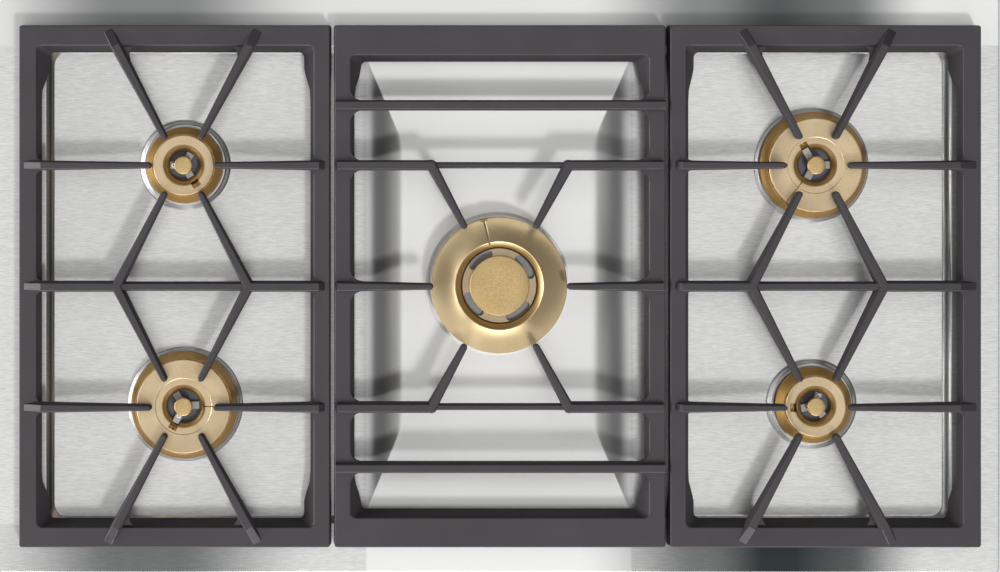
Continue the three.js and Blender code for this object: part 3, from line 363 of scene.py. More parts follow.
class Nodes:
    """A short way to build a material from nodes."""

    def __init__(self, name, **sockets):
        self.material = bpy.data.materials.new(name)
        self.material.use_nodes = True
        self.tree = self.material.node_tree
        self.shader = self.tree.nodes["Principled BSDF"]
        for socket, value in sockets.items():
            self.shader.inputs[socket.replace("_", " ")].default_value = value

    def add(self, kind, inputs=None, **settings):
        return add_node(self.tree, kind, inputs, **settings)

    def link(self, value, socket):
        self.tree.links.new(value, self.shader.inputs[socket])

    def object_point(self, scale):
        """The point in the object's own space, stretched by scale."""
        coordinates = self.add("ShaderNodeTexCoord")
        mapping = self.add("ShaderNodeMapping", {"Vector": coordinates.outputs["Object"], "Scale": scale})
        return mapping.outputs["Vector"]

    def upward(self):
        """How much the surface faces up: 1 on level faces, 0 on walls."""
        normal = self.add("ShaderNodeTexCoord").outputs["Normal"]
        return self.add("ShaderNodeSeparateXYZ", {"Vector": normal}).outputs["Z"]

    def off_axis(self):
        """The distance from the object's own upright axis."""
        flat = self.add("ShaderNodeVectorMath", {0: self.object_point((1.0, 1.0, 0.0))}, operation="LENGTH")
        return flat.outputs["Value"]

    def noise(self, scale, detail=2.0, roughness=0.5):
        """Noise with scale waves to the metre along X, Y and Z."""
        node = self.add("ShaderNodeTexNoise", {
            "Vector": self.object_point(scale), "Scale": 1.0, "Detail": detail, "Roughness": roughness})
        return node.outputs["Fac"]

    def spread(self, value, low, high, to_low, to_high, smooth=False):
        """Maps value from low..high to to_low..to_high, held at the ends."""
        node = self.add("ShaderNodeMapRange", {
            "Value": value, "From Min": low, "From Max": high, "To Min": to_low, "To Max": to_high})
        if smooth:
            node.interpolation_type = "SMOOTHSTEP"
        return node.outputs["Result"]

    def beyond(self, value, limit, below=0.0, above=1.0):
        """One value below a limit in millimetres and another above it."""
        return self.spread(value, (limit - 1) * MM, (limit + 1) * MM, below, above)

    def band(self, value, middle, core, reach, depth):
        """depth within core of the middle, fading to 0 at reach, all in millimetres."""
        distance = self.maths("ABSOLUTE", self.maths("SUBTRACT", value, middle * MM))
        return self.spread(distance, core * MM, reach * MM, depth, 0.0, smooth=True)

    def front_or_back(self, y, front, back):
        """One value on the front half of the plate and another on the back half."""
        return self.spread(y, -HALF_DEPTH / 3 * MM, HALF_DEPTH / 3 * MM, front, back)

    def maths(self, operation, *values):
        return self.add("ShaderNodeMath", dict(enumerate(values)), operation=operation).outputs["Value"]

    def between(self, value, first, second):
        """Mixes two fixed colours, or a colour socket and a fixed colour."""
        if not isinstance(first, bpy.types.NodeSocket):
            first = (*first, 1.0)
        node = self.add("ShaderNodeMix", {0: value, 6: first, 7: (*second, 1.0)}, data_type="RGBA")
        return node.outputs[2]

    def bump(self, height, strength, distance):
        node = self.add("ShaderNodeBump", {"Height": height, "Strength": strength, "Distance": distance})
        self.link(node.outputs["Normal"], "Normal")


def brushed_steel(name, colour, roughness, grain=1.0):
    """Steel sheet with fine brushing along X."""
    nodes = Nodes(name, Metallic=1.0, Roughness=roughness, Anisotropic=0.8, Specular_IOR_Level=0.1)
    streaks = nodes.noise((130.0, 1800.0, 300.0), roughness=0.6)
    clouds = nodes.noise((5.0, 9.0, 5.0))
    dark = [c * (1 - 0.18 * grain) for c in colour]
    light = [min(1.0, c * (1 + 0.12 * grain)) for c in colour]
    brushed = nodes.between(nodes.spread(streaks, 0.3, 0.7, 0.0, 1.0), dark, light)
    nodes.link(brushed, "Base Color")
    nodes.link(nodes.spread(clouds, 0.3, 0.7, roughness - 0.02, roughness + 0.03), "Roughness")
    nodes.bump(streaks, 0.12 * grain, 0.00004)
    along = nodes.add("ShaderNodeCombineXYZ", {"X": 0.0, "Y": 1.0, "Z": 0.0})
    nodes.link(along.outputs["Vector"], "Tangent")
    return nodes, brushed


def painted_rim_reflections(nodes, x, y, on_rim):
    """How dark the reflections painted in patches along X make the front and back rims."""
    light = 1.0
    for patch in PAINTED_RIM_REFLECTIONS:
        light = nodes.maths("MULTIPLY", light, nodes.maths("SUBTRACT", 1.0, nodes.band(x, *patch)))
    strength = nodes.maths("MULTIPLY", on_rim, nodes.front_or_back(y, FRONT_RIM_REFLECTION_STRENGTH, 1.0))
    return nodes.maths("MULTIPLY", nodes.maths("SUBTRACT", 1.0, light), strength)


def painted_trough_reflection(nodes, column, row):
    """How dark the reflection painted down each side slope of the trough is; it ends at the mitres."""
    across = nodes.spread(column, TROUGH["floor_x"] * MM, TROUGH["half_x"] * MM, 0.0, 1.0)
    along = nodes.spread(row, TROUGH["floor_y"] * MM, TROUGH["half_y"] * MM, 0.0, 1.0)
    on_side = nodes.spread(nodes.maths("SUBTRACT", across, along), 0.0, MITRE_BLUR, 0.0, 1.0)
    return nodes.maths("MULTIPLY", nodes.band(column, *TROUGH_SIDE_REFLECTION), on_side)


def plate_steel(name, colour, roughness):
    """Brushed steel with light painted on the back rim and in the trough, dark reflections painted on the
    rims, side bends and trough sides, and more of a mirror where the sheet is steep.
    """
    nodes, brushed = brushed_steel(name, colour, roughness)
    parts = nodes.add("ShaderNodeSeparateXYZ", {"Vector": nodes.object_point((1.0, 1.0, 1.0))})
    x, y = parts.outputs["X"], parts.outputs["Y"]
    column, row = nodes.maths("ABSOLUTE", x), nodes.maths("ABSOLUTE", y)
    on_rim = nodes.beyond(row, HALF_DEPTH - RIM)
    beside_trough = nodes.beyond(column, TROUGH["half_x"] + 1)

    steep = nodes.spread(nodes.upward(), STEEP["to"], STEEP["from"], 1.0, 0.0, smooth=True)
    by_wok = nodes.beyond(nodes.off_axis(), WOK_COLLAR_END, -METAL["pull"], 0.0)
    gloss = nodes.maths("MULTIPLY", steep, nodes.maths("ADD", beside_trough, by_wok))
    nodes.link(nodes.spread(gloss, -1.0, 1.0, METAL["wok_collar"], METAL["steep"]), "Metallic")

    # Painted light: the back rim and the trough are lightened towards the pale steel.
    back_rim_lightening = nodes.maths("MULTIPLY", on_rim, nodes.front_or_back(y, 0.0, 1.0))
    trough_lightening = nodes.maths("SUBTRACT", TROUGH_PAINTED_LIGHT, beside_trough)
    painted_light = nodes.between(nodes.maths("MAXIMUM", back_rim_lightening, trough_lightening), brushed, PAINTED_LIGHT_STEEL)
    # Painted reflection: a dark band along the bend at each side of the recess.
    bend = nodes.band(column, HALF_WIDTH - RIM - BEND / 2, 0.0, BEND / 2, BEND_REFLECTION_DEPTH)
    off_rim = nodes.maths("SUBTRACT", 1.0, on_rim)
    with_bend_reflection = nodes.between(nodes.maths("MULTIPLY", bend, off_rim), painted_light, PAINTED_REFLECTION_STEEL)
    # Painted reflections: dark patches on the rims and a dark band down each side of the trough.
    dark = nodes.maths("MAXIMUM", painted_rim_reflections(nodes, x, y, on_rim), painted_trough_reflection(nodes, column, row))
    nodes.link(nodes.between(dark, with_bend_reflection, PAINTED_REFLECTION_STEEL), "Base Color")
    return nodes.material


def cast_iron(name):
    """Matt, slightly warm, fine-grained cast iron."""
    nodes = Nodes(name, Metallic=0.0, Roughness=0.42, Specular_IOR_Level=1.0)
    grain = nodes.noise((900.0, 900.0, 900.0), detail=3.0)
    patches = nodes.noise((25.0, 25.0, 25.0), detail=3.0)
    nodes.link(nodes.between(nodes.spread(patches, 0.3, 0.7, 0.0, 1.0),
                             (0.0258, 0.0208, 0.0254), (0.0340, 0.0277, 0.0336)), "Base Color")
    steep = nodes.spread(nodes.upward(), 0.3, 0.8, 0.5, 0.0)
    nodes.link(nodes.maths("ADD", steep, nodes.spread(grain, 0.3, 0.7, 0.38, 0.50)), "Roughness")
    nodes.bump(grain, 0.35, 0.00012)
    return nodes.material


def turned_brass(name, dark, light, roughness, anisotropy=0.6, grain=0.25, metallic=0.85):
    """Brass turned on a lathe: fine rings, soft clouds and light spread across the rings."""
    nodes = Nodes(name, Metallic=metallic, Roughness=roughness, Anisotropic=anisotropy)
    clouds = nodes.noise((38.0, 38.0, 38.0), detail=4.0)
    specks = nodes.noise((1400.0, 1400.0, 1400.0))
    rings = nodes.add("ShaderNodeTexNoise", {"Scale": 2600.0, "Detail": 1.0, "W": nodes.off_axis()},
                      noise_dimensions="1D")
    mixed = nodes.maths("ADD", clouds, nodes.spread(specks, 0.2, 0.8, -grain, grain))
    nodes.link(nodes.between(nodes.spread(mixed, 0.25, 0.75, 0.0, 1.0), dark, light), "Base Color")
    nodes.bump(rings.outputs["Fac"], 0.10, 0.00003)
    tangent = nodes.add("ShaderNodeTangent", direction_type="RADIAL", axis="Z")
    nodes.link(tangent.outputs["Tangent"], "Tangent")
    return nodes.material


def plain(name, colour, roughness, metallic=0.0, grain_scale=600.0, strength=0.15, coat=0.0):
    """A simple finish with a fine grain and a soft change of shade."""
    nodes = Nodes(name, Metallic=metallic, Roughness=roughness, Coat_Weight=coat)
    grain = nodes.noise((grain_scale,) * 3)
    patches = nodes.noise((30.0, 30.0, 30.0))
    dark, light = [c * 0.9 for c in colour], [min(1.0, c * 1.08) for c in colour]
    nodes.link(nodes.between(patches, dark, light), "Base Color")
    nodes.bump(grain, strength, 0.0001)
    return nodes.material


STEEL = plate_steel("brushed_steel", (0.84, 0.84, 0.83), 0.33)
ZINC = brushed_steel("zinc_sheet", (0.40, 0.41, 0.43), 0.58, 0.5)[0].material
IRON = cast_iron("cast_iron")
DARK_BRASS = turned_brass("dark_brass", (0.48, 0.28, 0.085), (0.58, 0.35, 0.115), 0.42, 0.3)
LIGHT_BRASS = turned_brass("light_brass", (0.76, 0.57, 0.335), (0.96, 0.77, 0.50), 0.33)
WOK_BRASS = turned_brass("wok_brass", (0.80, 0.60, 0.33), (0.95, 0.74, 0.44), 0.36, 0.75, metallic=0.76)
CAP_BRASS = turned_brass("cap_brass", (0.69, 0.485, 0.215), (0.91, 0.67, 0.33), 0.42, 0.0, 0.9)
PALE_BRASS = turned_brass("pale_brass", (0.58, 0.46, 0.29), (0.68, 0.55, 0.36), 0.42, 0.2)
# Darker brass painted into the lid's funnel as shade.
SHADED_FUNNEL_BRASS = turned_brass("shaded_funnel_brass", (0.40, 0.25, 0.09), (0.54, 0.36, 0.15), 0.42)
# Darker brass painted into the wok burner's throat as shade.
SHADED_THROAT_BRASS = turned_brass("shaded_throat_brass", (0.54, 0.375, 0.16), (0.66, 0.47, 0.21), 0.45, 0.2)
DARK_ALUMINIUM = plain("burner_aluminium", (0.11, 0.115, 0.135), 0.45, 0.3)
GREY_CAST = plain("grey_casting", (0.25, 0.25, 0.26), 0.55, 0.2)
LUG_ALUMINIUM = plain("lug_aluminium", (0.38, 0.37, 0.35), 0.45, 0.4)
CERAMIC = plain("ceramic", (0.85, 0.84, 0.82), 0.18, 0.0, coat=0.5)
ELECTRODE = plain("electrode_steel", (0.16, 0.16, 0.17), 0.3, 0.9)
ARM_STEEL = plain("igniter_steel", (0.52, 0.51, 0.49), 0.3, 0.7)
GAS_BRASS = turned_brass("gas_brass", (0.55, 0.42, 0.2), (0.62, 0.48, 0.25), 0.35, 0.2)
GAS_STEEL = plain("gas_tube", (0.55, 0.56, 0.57), 0.3, 1.0)
RUBBER = plain("seal_rubber", (0.03, 0.03, 0.03), 0.75, 0.0, 300.0, 0.3)
PLASTIC = plain("black_plastic", (0.03, 0.03, 0.033), 0.45, 0.0, 500.0, 0.3)


# ---- plate pieces

def shares(steps):
    """From 0 to 1 in even steps."""
    return [i / steps for i in range(steps + 1)]


def s_curve(share):
    """The soft bend of pressed sheet: level at both ends."""
    share = min(max(share, 0.0), 1.0)
    return share * share * (3 - 2 * share)


def eased_ramp(share, ease=0.2):
    """An even slope that is eased in and out over a short stretch at each end."""
    if share > 0.5:
        return 1.0 - eased_ramp(1.0 - share, ease)
    if share < ease:
        return share * share / (2 * ease * (1 - ease))
    return (share - ease / 2) / (1 - ease)


def rounded_loop(half_x, half_y, radius, side_steps, corner_steps):
    """A loop of points round a rectangle with round corners; radius 0 keeps its point count."""
    points = []
    turns = [(1, 1, 0), (-1, 1, 90), (-1, -1, 180), (1, -1, 270)]
    arcs = [arc(sx * (half_x - radius), sy * (half_y - radius), radius, start, start + 90, corner_steps)
            for sx, sy, start in turns]
    for corner, following in zip(arcs, arcs[1:] + arcs[:1]):
        (x0, y0), (x1, y1) = corner[-1], following[0]
        points += corner
        points += [(x0 + (x1 - x0) * share, y0 + (y1 - y0) * share) for share in shares(side_steps)[1:-1]]
    return points


def fill_flat(bm, loops):
    """Fills the level area between closed loops of vertices."""
    edges = []
    for loop in loops:
        for a, b in zip(loop, loop[1:] + loop[:1]):
            edges.append(bm.edges.get((a, b)) or bm.edges.new((a, b)))
    bmesh.ops.triangle_fill(bm, use_beauty=True, edges=edges)


def circle_points(centre, radius, z):
    return [(x, y, z) for x, y in arc(*centre, radius, 0, 360, ROUND)[:-1]]


def collar_loops(centre, base, floor, form):
    """A collar round a burner: up from the floor in a soft bend, over a rounded lip and down inside."""
    top = base + form["gap"]
    foot = top + form["slope"]
    rise = form["rise"]
    loops = []
    for share in shares(PLATE_STEPS["collar"]):
        climb = 1 - (1 - share) ** 2 if form["crowned"] else s_curve(share)
        loops.append(circle_points(centre, foot + (top - foot) * share, floor + rise * climb))
    loops.append(circle_points(centre, base + 0.4, floor + rise - 0.35))
    loops.append(circle_points(centre, base - COLLAR_LIP, floor + rise - 0.4))
    return loops


def make_plate():
    """The pressed sheet: a hemmed rim, the recess, the mitred trough and a collar round each opening."""
    bm = bmesh.new()
    top, floor = PLATE_TOP, PLATE_TOP - RECESS_DROP
    trough_floor = floor - TROUGH["drop"]

    def loop(inset, z, radius):
        points = rounded_loop(HALF_WIDTH - inset, HALF_DEPTH - inset, radius,
                              PLATE_STEPS["side"], PLATE_STEPS["corner"])
        return [(x, y, z) for x, y in points]

    edge = [loop(SHEET, top - HEM, PLATE_CORNER - 0.5), loop(0, top - HEM, PLATE_CORNER)]
    for inset, z in arc(EDGE_ROUND, top - EDGE_ROUND, EDGE_ROUND, 180, 90, PLATE_STEPS["edge"]):
        edge.append(loop(inset, z, PLATE_CORNER))
    bends = [loop(RIM + BEND * share, top - RECESS_DROP * eased_ramp(share), RIM_CORNER - BEND * share)
             for share in shares(PLATE_STEPS["bend"])]
    slopes = []
    for share in shares(PLATE_STEPS["slope"]):
        points = rounded_loop(
            TROUGH["half_x"] + (TROUGH["floor_x"] - TROUGH["half_x"]) * share,
            TROUGH["half_y"] + (TROUGH["floor_y"] - TROUGH["half_y"]) * share,
            TROUGH["corner"], PLATE_STEPS["side"], 2)
        slopes.append([(x, y, floor - TROUGH["drop"] * s_curve(share)) for x, y in points])

    _, rim_outer = skin(bm, edge)
    bend_first, bend_last = skin(bm, bends)
    fill_flat(bm, [rim_outer, bend_first])
    trough_first, trough_last = skin(bm, slopes)
    holes = []
    for name in CORNERS:
        centre, base = flame_ring_place(name)
        form = LARGE_COLLAR if base > LARGE_BASE else SMALL_COLLAR
        first, _ = skin(bm, collar_loops(centre, base, floor, form))
        holes.append(first)
    fill_flat(bm, [bend_last, trough_first, *holes])
    wok_first, _ = skin(bm, collar_loops(*flame_ring_place("wok"), trough_floor, WOK_COLLAR))
    fill_flat(bm, [trough_last, wok_first])
    obj = new_object("plate_pressing", bm)
    for face in obj.data.polygons:
        face.use_smooth = face.normal.z < 0.99999
    return applied(obj, ("SOLIDIFY", {"thickness": SHEET_SHOWN * MM, "offset": -1.0, "use_rim": True}))


place(make_plate(), STEEL, "cooktop_plate", BASE)


# ---- pan supports

def arch_share(y, half_y):
    """How far y lies from the arch's foot, 0, to where it is fully risen, 1."""
    return (half_y - SUPPORT["arch_end"] - abs(y)) / SUPPORT["arch_run"]


def arch_rise(y, half_y):
    """How far the arch under a side rail has risen at y."""
    return SUPPORT["arch"] * s_curve(arch_share(y, half_y))


def web_reach(y, half_y):
    """How far a side rail's inner wall widens towards its foot at y."""
    return SUPPORT["web"] * (1 - min(max(arch_share(y, half_y), 0.0), 1.0))


def support_frame(name, half_x, half_y, left, right, cross):
    """A cast frame of rails with rounded edges and drafted walls, standing on its corners."""
    rail, lift, edge = SUPPORT["rail"], SUPPORT["lift"], SUPPORT["round"]
    pocket_x, pocket_y = half_x - (left + right) / 2, half_y - cross
    middle = (left - right) / 2
    outer = rounded_loop(half_x, half_y, SUPPORT["corner"], 40, 5)
    pocket = rounded_loop(pocket_x, pocket_y, SUPPORT["pocket_corner"], 40, 5)

    def outer_loop(share, inset=0.0, drop=0.0):
        points = []
        for x, y in outer:
            z = rail - drop - (rail - drop - lift - arch_rise(y, half_y)) * share
            grow = SUPPORT["flare"] * (rail - z) - inset
            points.append((x * (1 + grow / half_x), y * (1 + grow / half_y), PLATE_TOP + z))
        return points

    def pocket_loop(share, inset=0.0, drop=0.0):
        points = []
        for x, y in pocket:
            z = rail - drop - (rail - drop - lift - arch_rise(y, half_y)) * share
            grow = SUPPORT["draft"] * (rail - z) - inset
            widen = grow + web_reach(y, half_y) * share
            points.append((middle + x * (1 - widen / pocket_x), y * (1 - grow / pocket_y), PLATE_TOP + z))
        return points

    def rounding(loop):
        return [loop(0.0, edge - across, edge - up) for across, up in arc(0, 0, edge, 0, 90, 5)]

    loops = [outer_loop(1.0), outer_loop(0.5), *rounding(outer_loop), *reversed(rounding(pocket_loop)),
             pocket_loop(0.5), pocket_loop(1.0)]
    bm = bmesh.new()
    first, last = skin(bm, loops)
    bridge(bm, last, first)
    return new_object(name, bm)


def half_section(width, top, bottom):
    """Points up one side of a bar: upright, then a drafted flank and a rounded upper edge."""
    edge = FINGER["round"]
    crown = width / 2 * FINGER["draft"]
    points = [(width / 2, bottom), (width / 2, top - FINGER["flank"])]
    points += arc(crown - edge, top - edge, edge, 0, 90, 5)
    return points


def beam(start, end, widths, tops, bottoms, ramp=None, rounded=False):
    """A tapered bar between two points; widths, tops and bottoms are those of its two ends."""
    length = hypot(end[0] - start[0], end[1] - start[1])
    along = ((end[0] - start[0]) / length, (end[1] - start[1]) / length)
    stations = [(0.0, 1.0, 0.0)]
    if ramp:
        stations.append((ramp, 1.0, 0.0))
    if rounded:
        nose = widths[1] / 2
        for angle in NOSE_ANGLES:
            narrowing, ahead = polar(1, angle)
            stations.append((length - nose + nose * ahead, narrowing, FINGER["nose_drop"] * (1 - narrowing)))
    else:
        stations.append((length, 1.0, 0.0))
    rows = []
    for index, (distance, narrowing, drop) in enumerate(stations):
        share = distance / length
        width = (widths[0] + (widths[1] - widths[0]) * share) * narrowing
        top = tops[1] - drop if index or not ramp else tops[0]
        bottom = min(bottoms[0] + (bottoms[1] - bottoms[0]) * share, top - FINGER["flank"] - 1)
        side = half_section(max(width, FINGER["narrowest"]), top, bottom)
        ring = side + [(-across, z) for across, z in reversed(side)]
        x, y = start[0] + along[0] * distance, start[1] + along[1] * distance
        rows.append([(x - along[1] * across, y + along[0] * across, PLATE_TOP + z) for across, z in ring])
    return capped("beam", rows)


def finger(start, end, root=FINGER["root"], ramp=FINGER["ramp"]):
    """A finger: it climbs off its rail by a ramp and thins towards a round tip."""
    top = FINGER["top"]
    return beam(start, end, (root, FINGER["tip"]), (SUPPORT["rail"] + RAMP_STEP, top),
                (top - FINGER["root_height"], top - FINGER["tip_height"]), ramp, rounded=True)


def bar(start, end, width=FINGER["root"], top=FINGER["top"], height=FINGER["root_height"], ramp=None):
    """A bar of even width, with a ramp at its start where one is asked for."""
    first_top = SUPPORT["rail"] + RAMP_STEP if ramp else top
    return beam(start, end, (width, width), (first_top, top), (top - height, top - height), ramp)


def knuckle(x, y):
    """The round joint where fingers and bars meet."""
    top, bottom = FINGER["top"], FINGER["top"] - FINGER["root_height"]
    side = half_section(FINGER["root"] + KNUCKLE["wider"], top, bottom)
    obj = lathe("knuckle", [(0, bottom), *side, (0, top)], segments=24, closed=False)
    return moved(obj, x, y, PLATE_TOP + KNUCKLE["proud"])


def fillet(x, y, first, second, top=SUPPORT["rail"], radius=FINGER["fillet"]):
    """A concave fillet in the corner at x, y, between sides that leave it at the two angles."""
    half = (second - first) / 2
    cx, cy = polar(radius / sin(radians(half)), first + half)
    outline = [(x, y), *arc(x + cx, y + cy, radius, first - 90, second - 270, 6)]
    low = FINGER["top"] - FINGER["root_height"]
    return prism("fillet", outline, PLATE_TOP + low, PLATE_TOP + top - FILLET_DROP)


def bar_fillets(x, y, inward, radius=FINGER["fillet"]):
    """The two fillets where a bar at row y meets a rail whose inner side is at x; inward is 0 or 180."""
    rail = x - OVERLAP * cos(radians(inward))
    edge = FINGER["root"] / 2 - OVERLAP
    above, below = (0, -90) if inward == 0 else (90, 180)
    return [fillet(rail, y + edge, above, above + 90, radius=radius),
            fillet(rail, y - edge, below, below + 90, radius=radius)]


def root_fillet(root, tip, rail_y):
    """The fillet in the narrow corner between a diagonal finger and its cross rail."""
    dx, dy = tip[0] - root[0], tip[1] - root[1]
    row, side = copysign(1, root[1]), copysign(1, dx)
    y = row * (rail_y + OVERLAP)
    half_width = FINGER["diagonal"] / 2 - OVERLAP
    x = root[0] + dx * (y - root[1]) / dy + side * half_width * hypot(dx, dy) / abs(dy)
    slant = degrees(atan2(abs(dy), abs(dx)))
    along_rail = 0 if side > 0 else 180
    along_finger = -row * slant if side > 0 else 180 + row * slant
    return fillet(x, y, min(along_rail, along_finger), max(along_rail, along_finger),
                  SUPPORT["rail"] - ROOT_FILLET_DROP, FINGER["root_fillet"])


def side_support_parts(half_x, half_y, burner_x, burner_y, outward):
    """The fingers of a side support about its own middle; outward is the sign of its outer side."""
    parts = [bar((burner_x - FINGER["node"], 0), (burner_x + FINGER["node"], 0), LOW_BAR["width"],
                 LOW_BAR["top"], LOW_BAR["height"])]
    for side in (-1, 1):
        ramp = FINGER["ramp" if side == outward else "inner_ramp"]
        rail = RAILS["outer" if side == outward else "inner"]
        edge, node = side * (half_x - FINGER["setback"]), burner_x + side * FINGER["node"]
        tip_x = burner_x + side * FINGER["tip_x"]
        parts += [bar((edge, 0), (node, 0), ramp=ramp), knuckle(node, 0)]
        for row in (-1, 1):
            y = row * burner_y
            root = (burner_x + side * FINGER["root_x"], row * (half_y - FINGER["setback"]))
            tip = (tip_x, y + row * FINGER["tip_y"])
            parts += [finger((edge, y), (burner_x + side * FINGER["reach"], y), ramp=ramp),
                      finger(root, tip, FINGER["diagonal"]),
                      root_fillet(root, tip, half_y - RAILS["cross"]),
                      finger((node, 0), (tip_x, y - row * FINGER["tip_y"]), ramp=None)]
        for y in (-burner_y, 0, burner_y):
            parts += bar_fillets(side * (half_x - rail), y, 180 if side > 0 else 0)
    return parts


def centre_support_parts(half_x, burner_y):
    """The plain bars, the bars over the wok burner's edge and the six fingers of the centre support."""
    parts = []
    reach = half_x - WOK_FINGER["inset"]
    edge = half_x - FINGER["setback"] / 2
    bend = WOK_FINGER["bend"]
    for row in (-1, 1):
        y = row * WOK_FINGER["bar_y"]
        parts.append(bar((-reach, y), (reach, y)))
        y = row * burner_y
        parts.append(bar((-bend, y), (bend, y), WOK_FINGER["bridge"], WOK_FINGER["bridge_top"],
                         WOK_FINGER["bridge_height"]))
        for side in (-1, 1):
            tip = (side * WOK_FINGER["tip_x"], row * WOK_FINGER["tip_y"])
            parts.append(bar((side * edge, y), (side * bend, y)))
            parts.append(knuckle(side * bend, y))
            parts.append(finger((side * bend, y), tip, ramp=None))
    for side in (-1, 1):
        parts.append(finger((side * edge, 0), (side * WOK_FINGER["reach"], 0), ramp=None))
        rail = side * (half_x - RAILS["inner"])
        for y in (-WOK_FINGER["bar_y"], -burner_y, 0, burner_y, WOK_FINGER["bar_y"]):
            parts += bar_fillets(rail, y, 0 if side < 0 else 180, WOK_FINGER["fillet"])
    return parts


def make_support(side):
    node = f"pan_support_{side}"
    low, high = node_box(node)
    middle = node_middle(node)
    flare = SUPPORT["flare"] * (SUPPORT["rail"] - SUPPORT["lift"])
    half_x, half_y = (high[0] - low[0]) / 2 - flare, (high[1] - low[1]) / 2 - flare
    burner_x, burner_y = node_middle("flame_ring_rear_right")
    if side == "centre":
        rails = (RAILS["inner"], RAILS["inner"], RAILS["wide_cross"])
        parts = centre_support_parts(half_x, burner_y)
    else:
        outward = 1 if side == "right" else -1
        rails = (*(RAILS["inner"], RAILS["outer"])[::outward], RAILS["cross"])
        parts = side_support_parts(half_x, half_y, outward * burner_x - middle[0], burner_y, outward)
    obj = joined([support_frame(f"cast_support_{side}", half_x, half_y, *rails), *parts])
    obj.location = (middle[0] * MM, middle[1] * MM, 0.0)
    shade(obj, SUPPORT["crease"])
    return applied(obj, ("WEIGHTED_NORMAL", {"keep_sharp": True}))


for side in ("left", "centre", "right"):
    place(make_support(side), IRON, f"pan_support_{side}")


# ---- burner pieces

def make_flame_ring(name, centre, base, form):
    """The dark ring of a corner burner, with flame ports cut across its upper edge."""
    top = PLATE_TOP + BASE_TOP
    rim = PLATE_TOP + BASE_RIM
    seat = node_box(f"flame_ring_{name}")[0][2] + 6
    shoulder = form["lid"] + 1.0
    inner = form["hole"] + 3.5
    ring = lathe(f"base_ring_{name}", [
        (base - 8, seat - 6), (base - 5, seat - 6), (base - 4.5, seat), (base - 0.4, seat),
        (base, seat + 0.4), *arc(base - 0.7, rim - 0.1, 0.7, 0, 48, 4),
        (shoulder + 0.5, top - 0.5), *arc(shoulder, top - 0.8, 0.8, 50, 90, 3),
        (inner + 3, top), (inner, top - 3.5), (inner, top - 6), (inner + 4, top - 6)], centre)
    start, end = inner + PORT["start"], form["lid"] - PORT["end"]
    size, spot = (end - start, PORT["width"], PORT["height"]), ((start + end) / 2, 0, top - PORT["drop"])
    return cut(ring, [block(f"port_{i}", size, spot, 360 * (i + 0.5) / form["ports"], centre)
                      for i in range(form["ports"])])


def make_lid(name, centre, form, notch, slit):
    """The light lid ring: a funnel to its hole, a notch for the igniter and, on some, a fine slit."""
    seat = PLATE_TOP + BASE_TOP + LID_GAP
    crown = PLATE_TOP + LID_TOP
    hole, lid, dip = form["hole"], form["lid"], form["dip"]
    edge = hole + form["funnel"]
    bottom = crown - FUNNEL_DEPTH
    profile = [(hole, bottom - 2), (hole, bottom)]
    profile += [(edge - form["funnel"] * across, bottom + (FUNNEL_DEPTH - dip) * up)
                for across, up in arc(0, 0, 1, 0, 90, 9)[1:]]
    if form["step"]:
        profile += [(form["step"], crown - dip + 0.05), (form["step"] + 0.5, crown - dip + 0.42)]
    profile += [(lid - form["rim"], crown - 0.15), (lid - form["rim"] + 0.5, crown)]
    profile += arc(lid - 0.9, crown - 0.9, 0.9, 90, 0, 5)
    profile += [(lid - 0.2, seat + 0.3), (lid - 0.6, seat), (hole + 4, seat), (hole + 1.6, bottom - 2)]
    ring = lathe(f"lid_ring_{name}", profile, centre)
    reach = NOTCH["at"] + NOTCH["width"] / 2
    start = hole - 2 if form["step"] else NOTCH["at"] - NOTCH["width"] / 2
    cuts = [block("notch", (reach - start, NOTCH["width"], 2 * form["notch"]),
                  ((reach + start) / 2, 0, crown), notch, centre)]
    if slit is not None:
        cuts.append(block("slit", (lid - hole, SLIT_WIDTH, SLIT_HEIGHT),
                          ((lid + hole) / 2, 0, crown), slit, centre))
    return round_edges(cut(ring, cuts), 0.18)


def make_cap(name, centre):
    """The small round cap in the middle of a corner burner."""
    low, high = node_box(f"burner_cap_{name}")
    radius = (high[0] - low[0]) / 2
    seat, top = low[2], high[2]
    return lathe(f"small_cap_{name}", [
        (0, seat), (radius - 2, seat), (radius - 0.5, seat + 1.4), (radius, seat + 2.6),
        *arc(radius - 1.2, top - 1.5, 1.2, 0, 72, 6), (radius * 0.5, top - 0.08), (0, top)],
        centre, ROUND // 2, closed=False)


def make_inner_burner(name, centre, igniter, hole):
    """The dark dish with three pale lugs that the small cap stands on."""
    low, high = node_box(f"inner_burner_{name}")
    bore, post, radius = POST["bore"], POST["radius"], hole + POST["flange"]
    disc = PLATE_TOP + POST["disc"]
    dish = lathe(f"inner_dish_{name}", [
        (bore, low[2]), (post, low[2]), (post, disc - 4), (radius - 0.5, disc - 1), (radius, disc - 0.6),
        (radius - 0.3, disc), (post, disc - 0.4), (post - 0.3, high[2]), (bore, high[2])], centre, ROUND // 2)
    start, end = LUG["start"], hole - LUG["end"]
    lugs = [
        round_edges(block("lug", (end - start, LUG["width"], LUG["height"]),
                          ((start + end) / 2, 0, disc + LUG["rise"]), igniter + turn, centre), LUG["round"])
        for turn in (0, 120, 240)]
    return dish, joined(lugs)


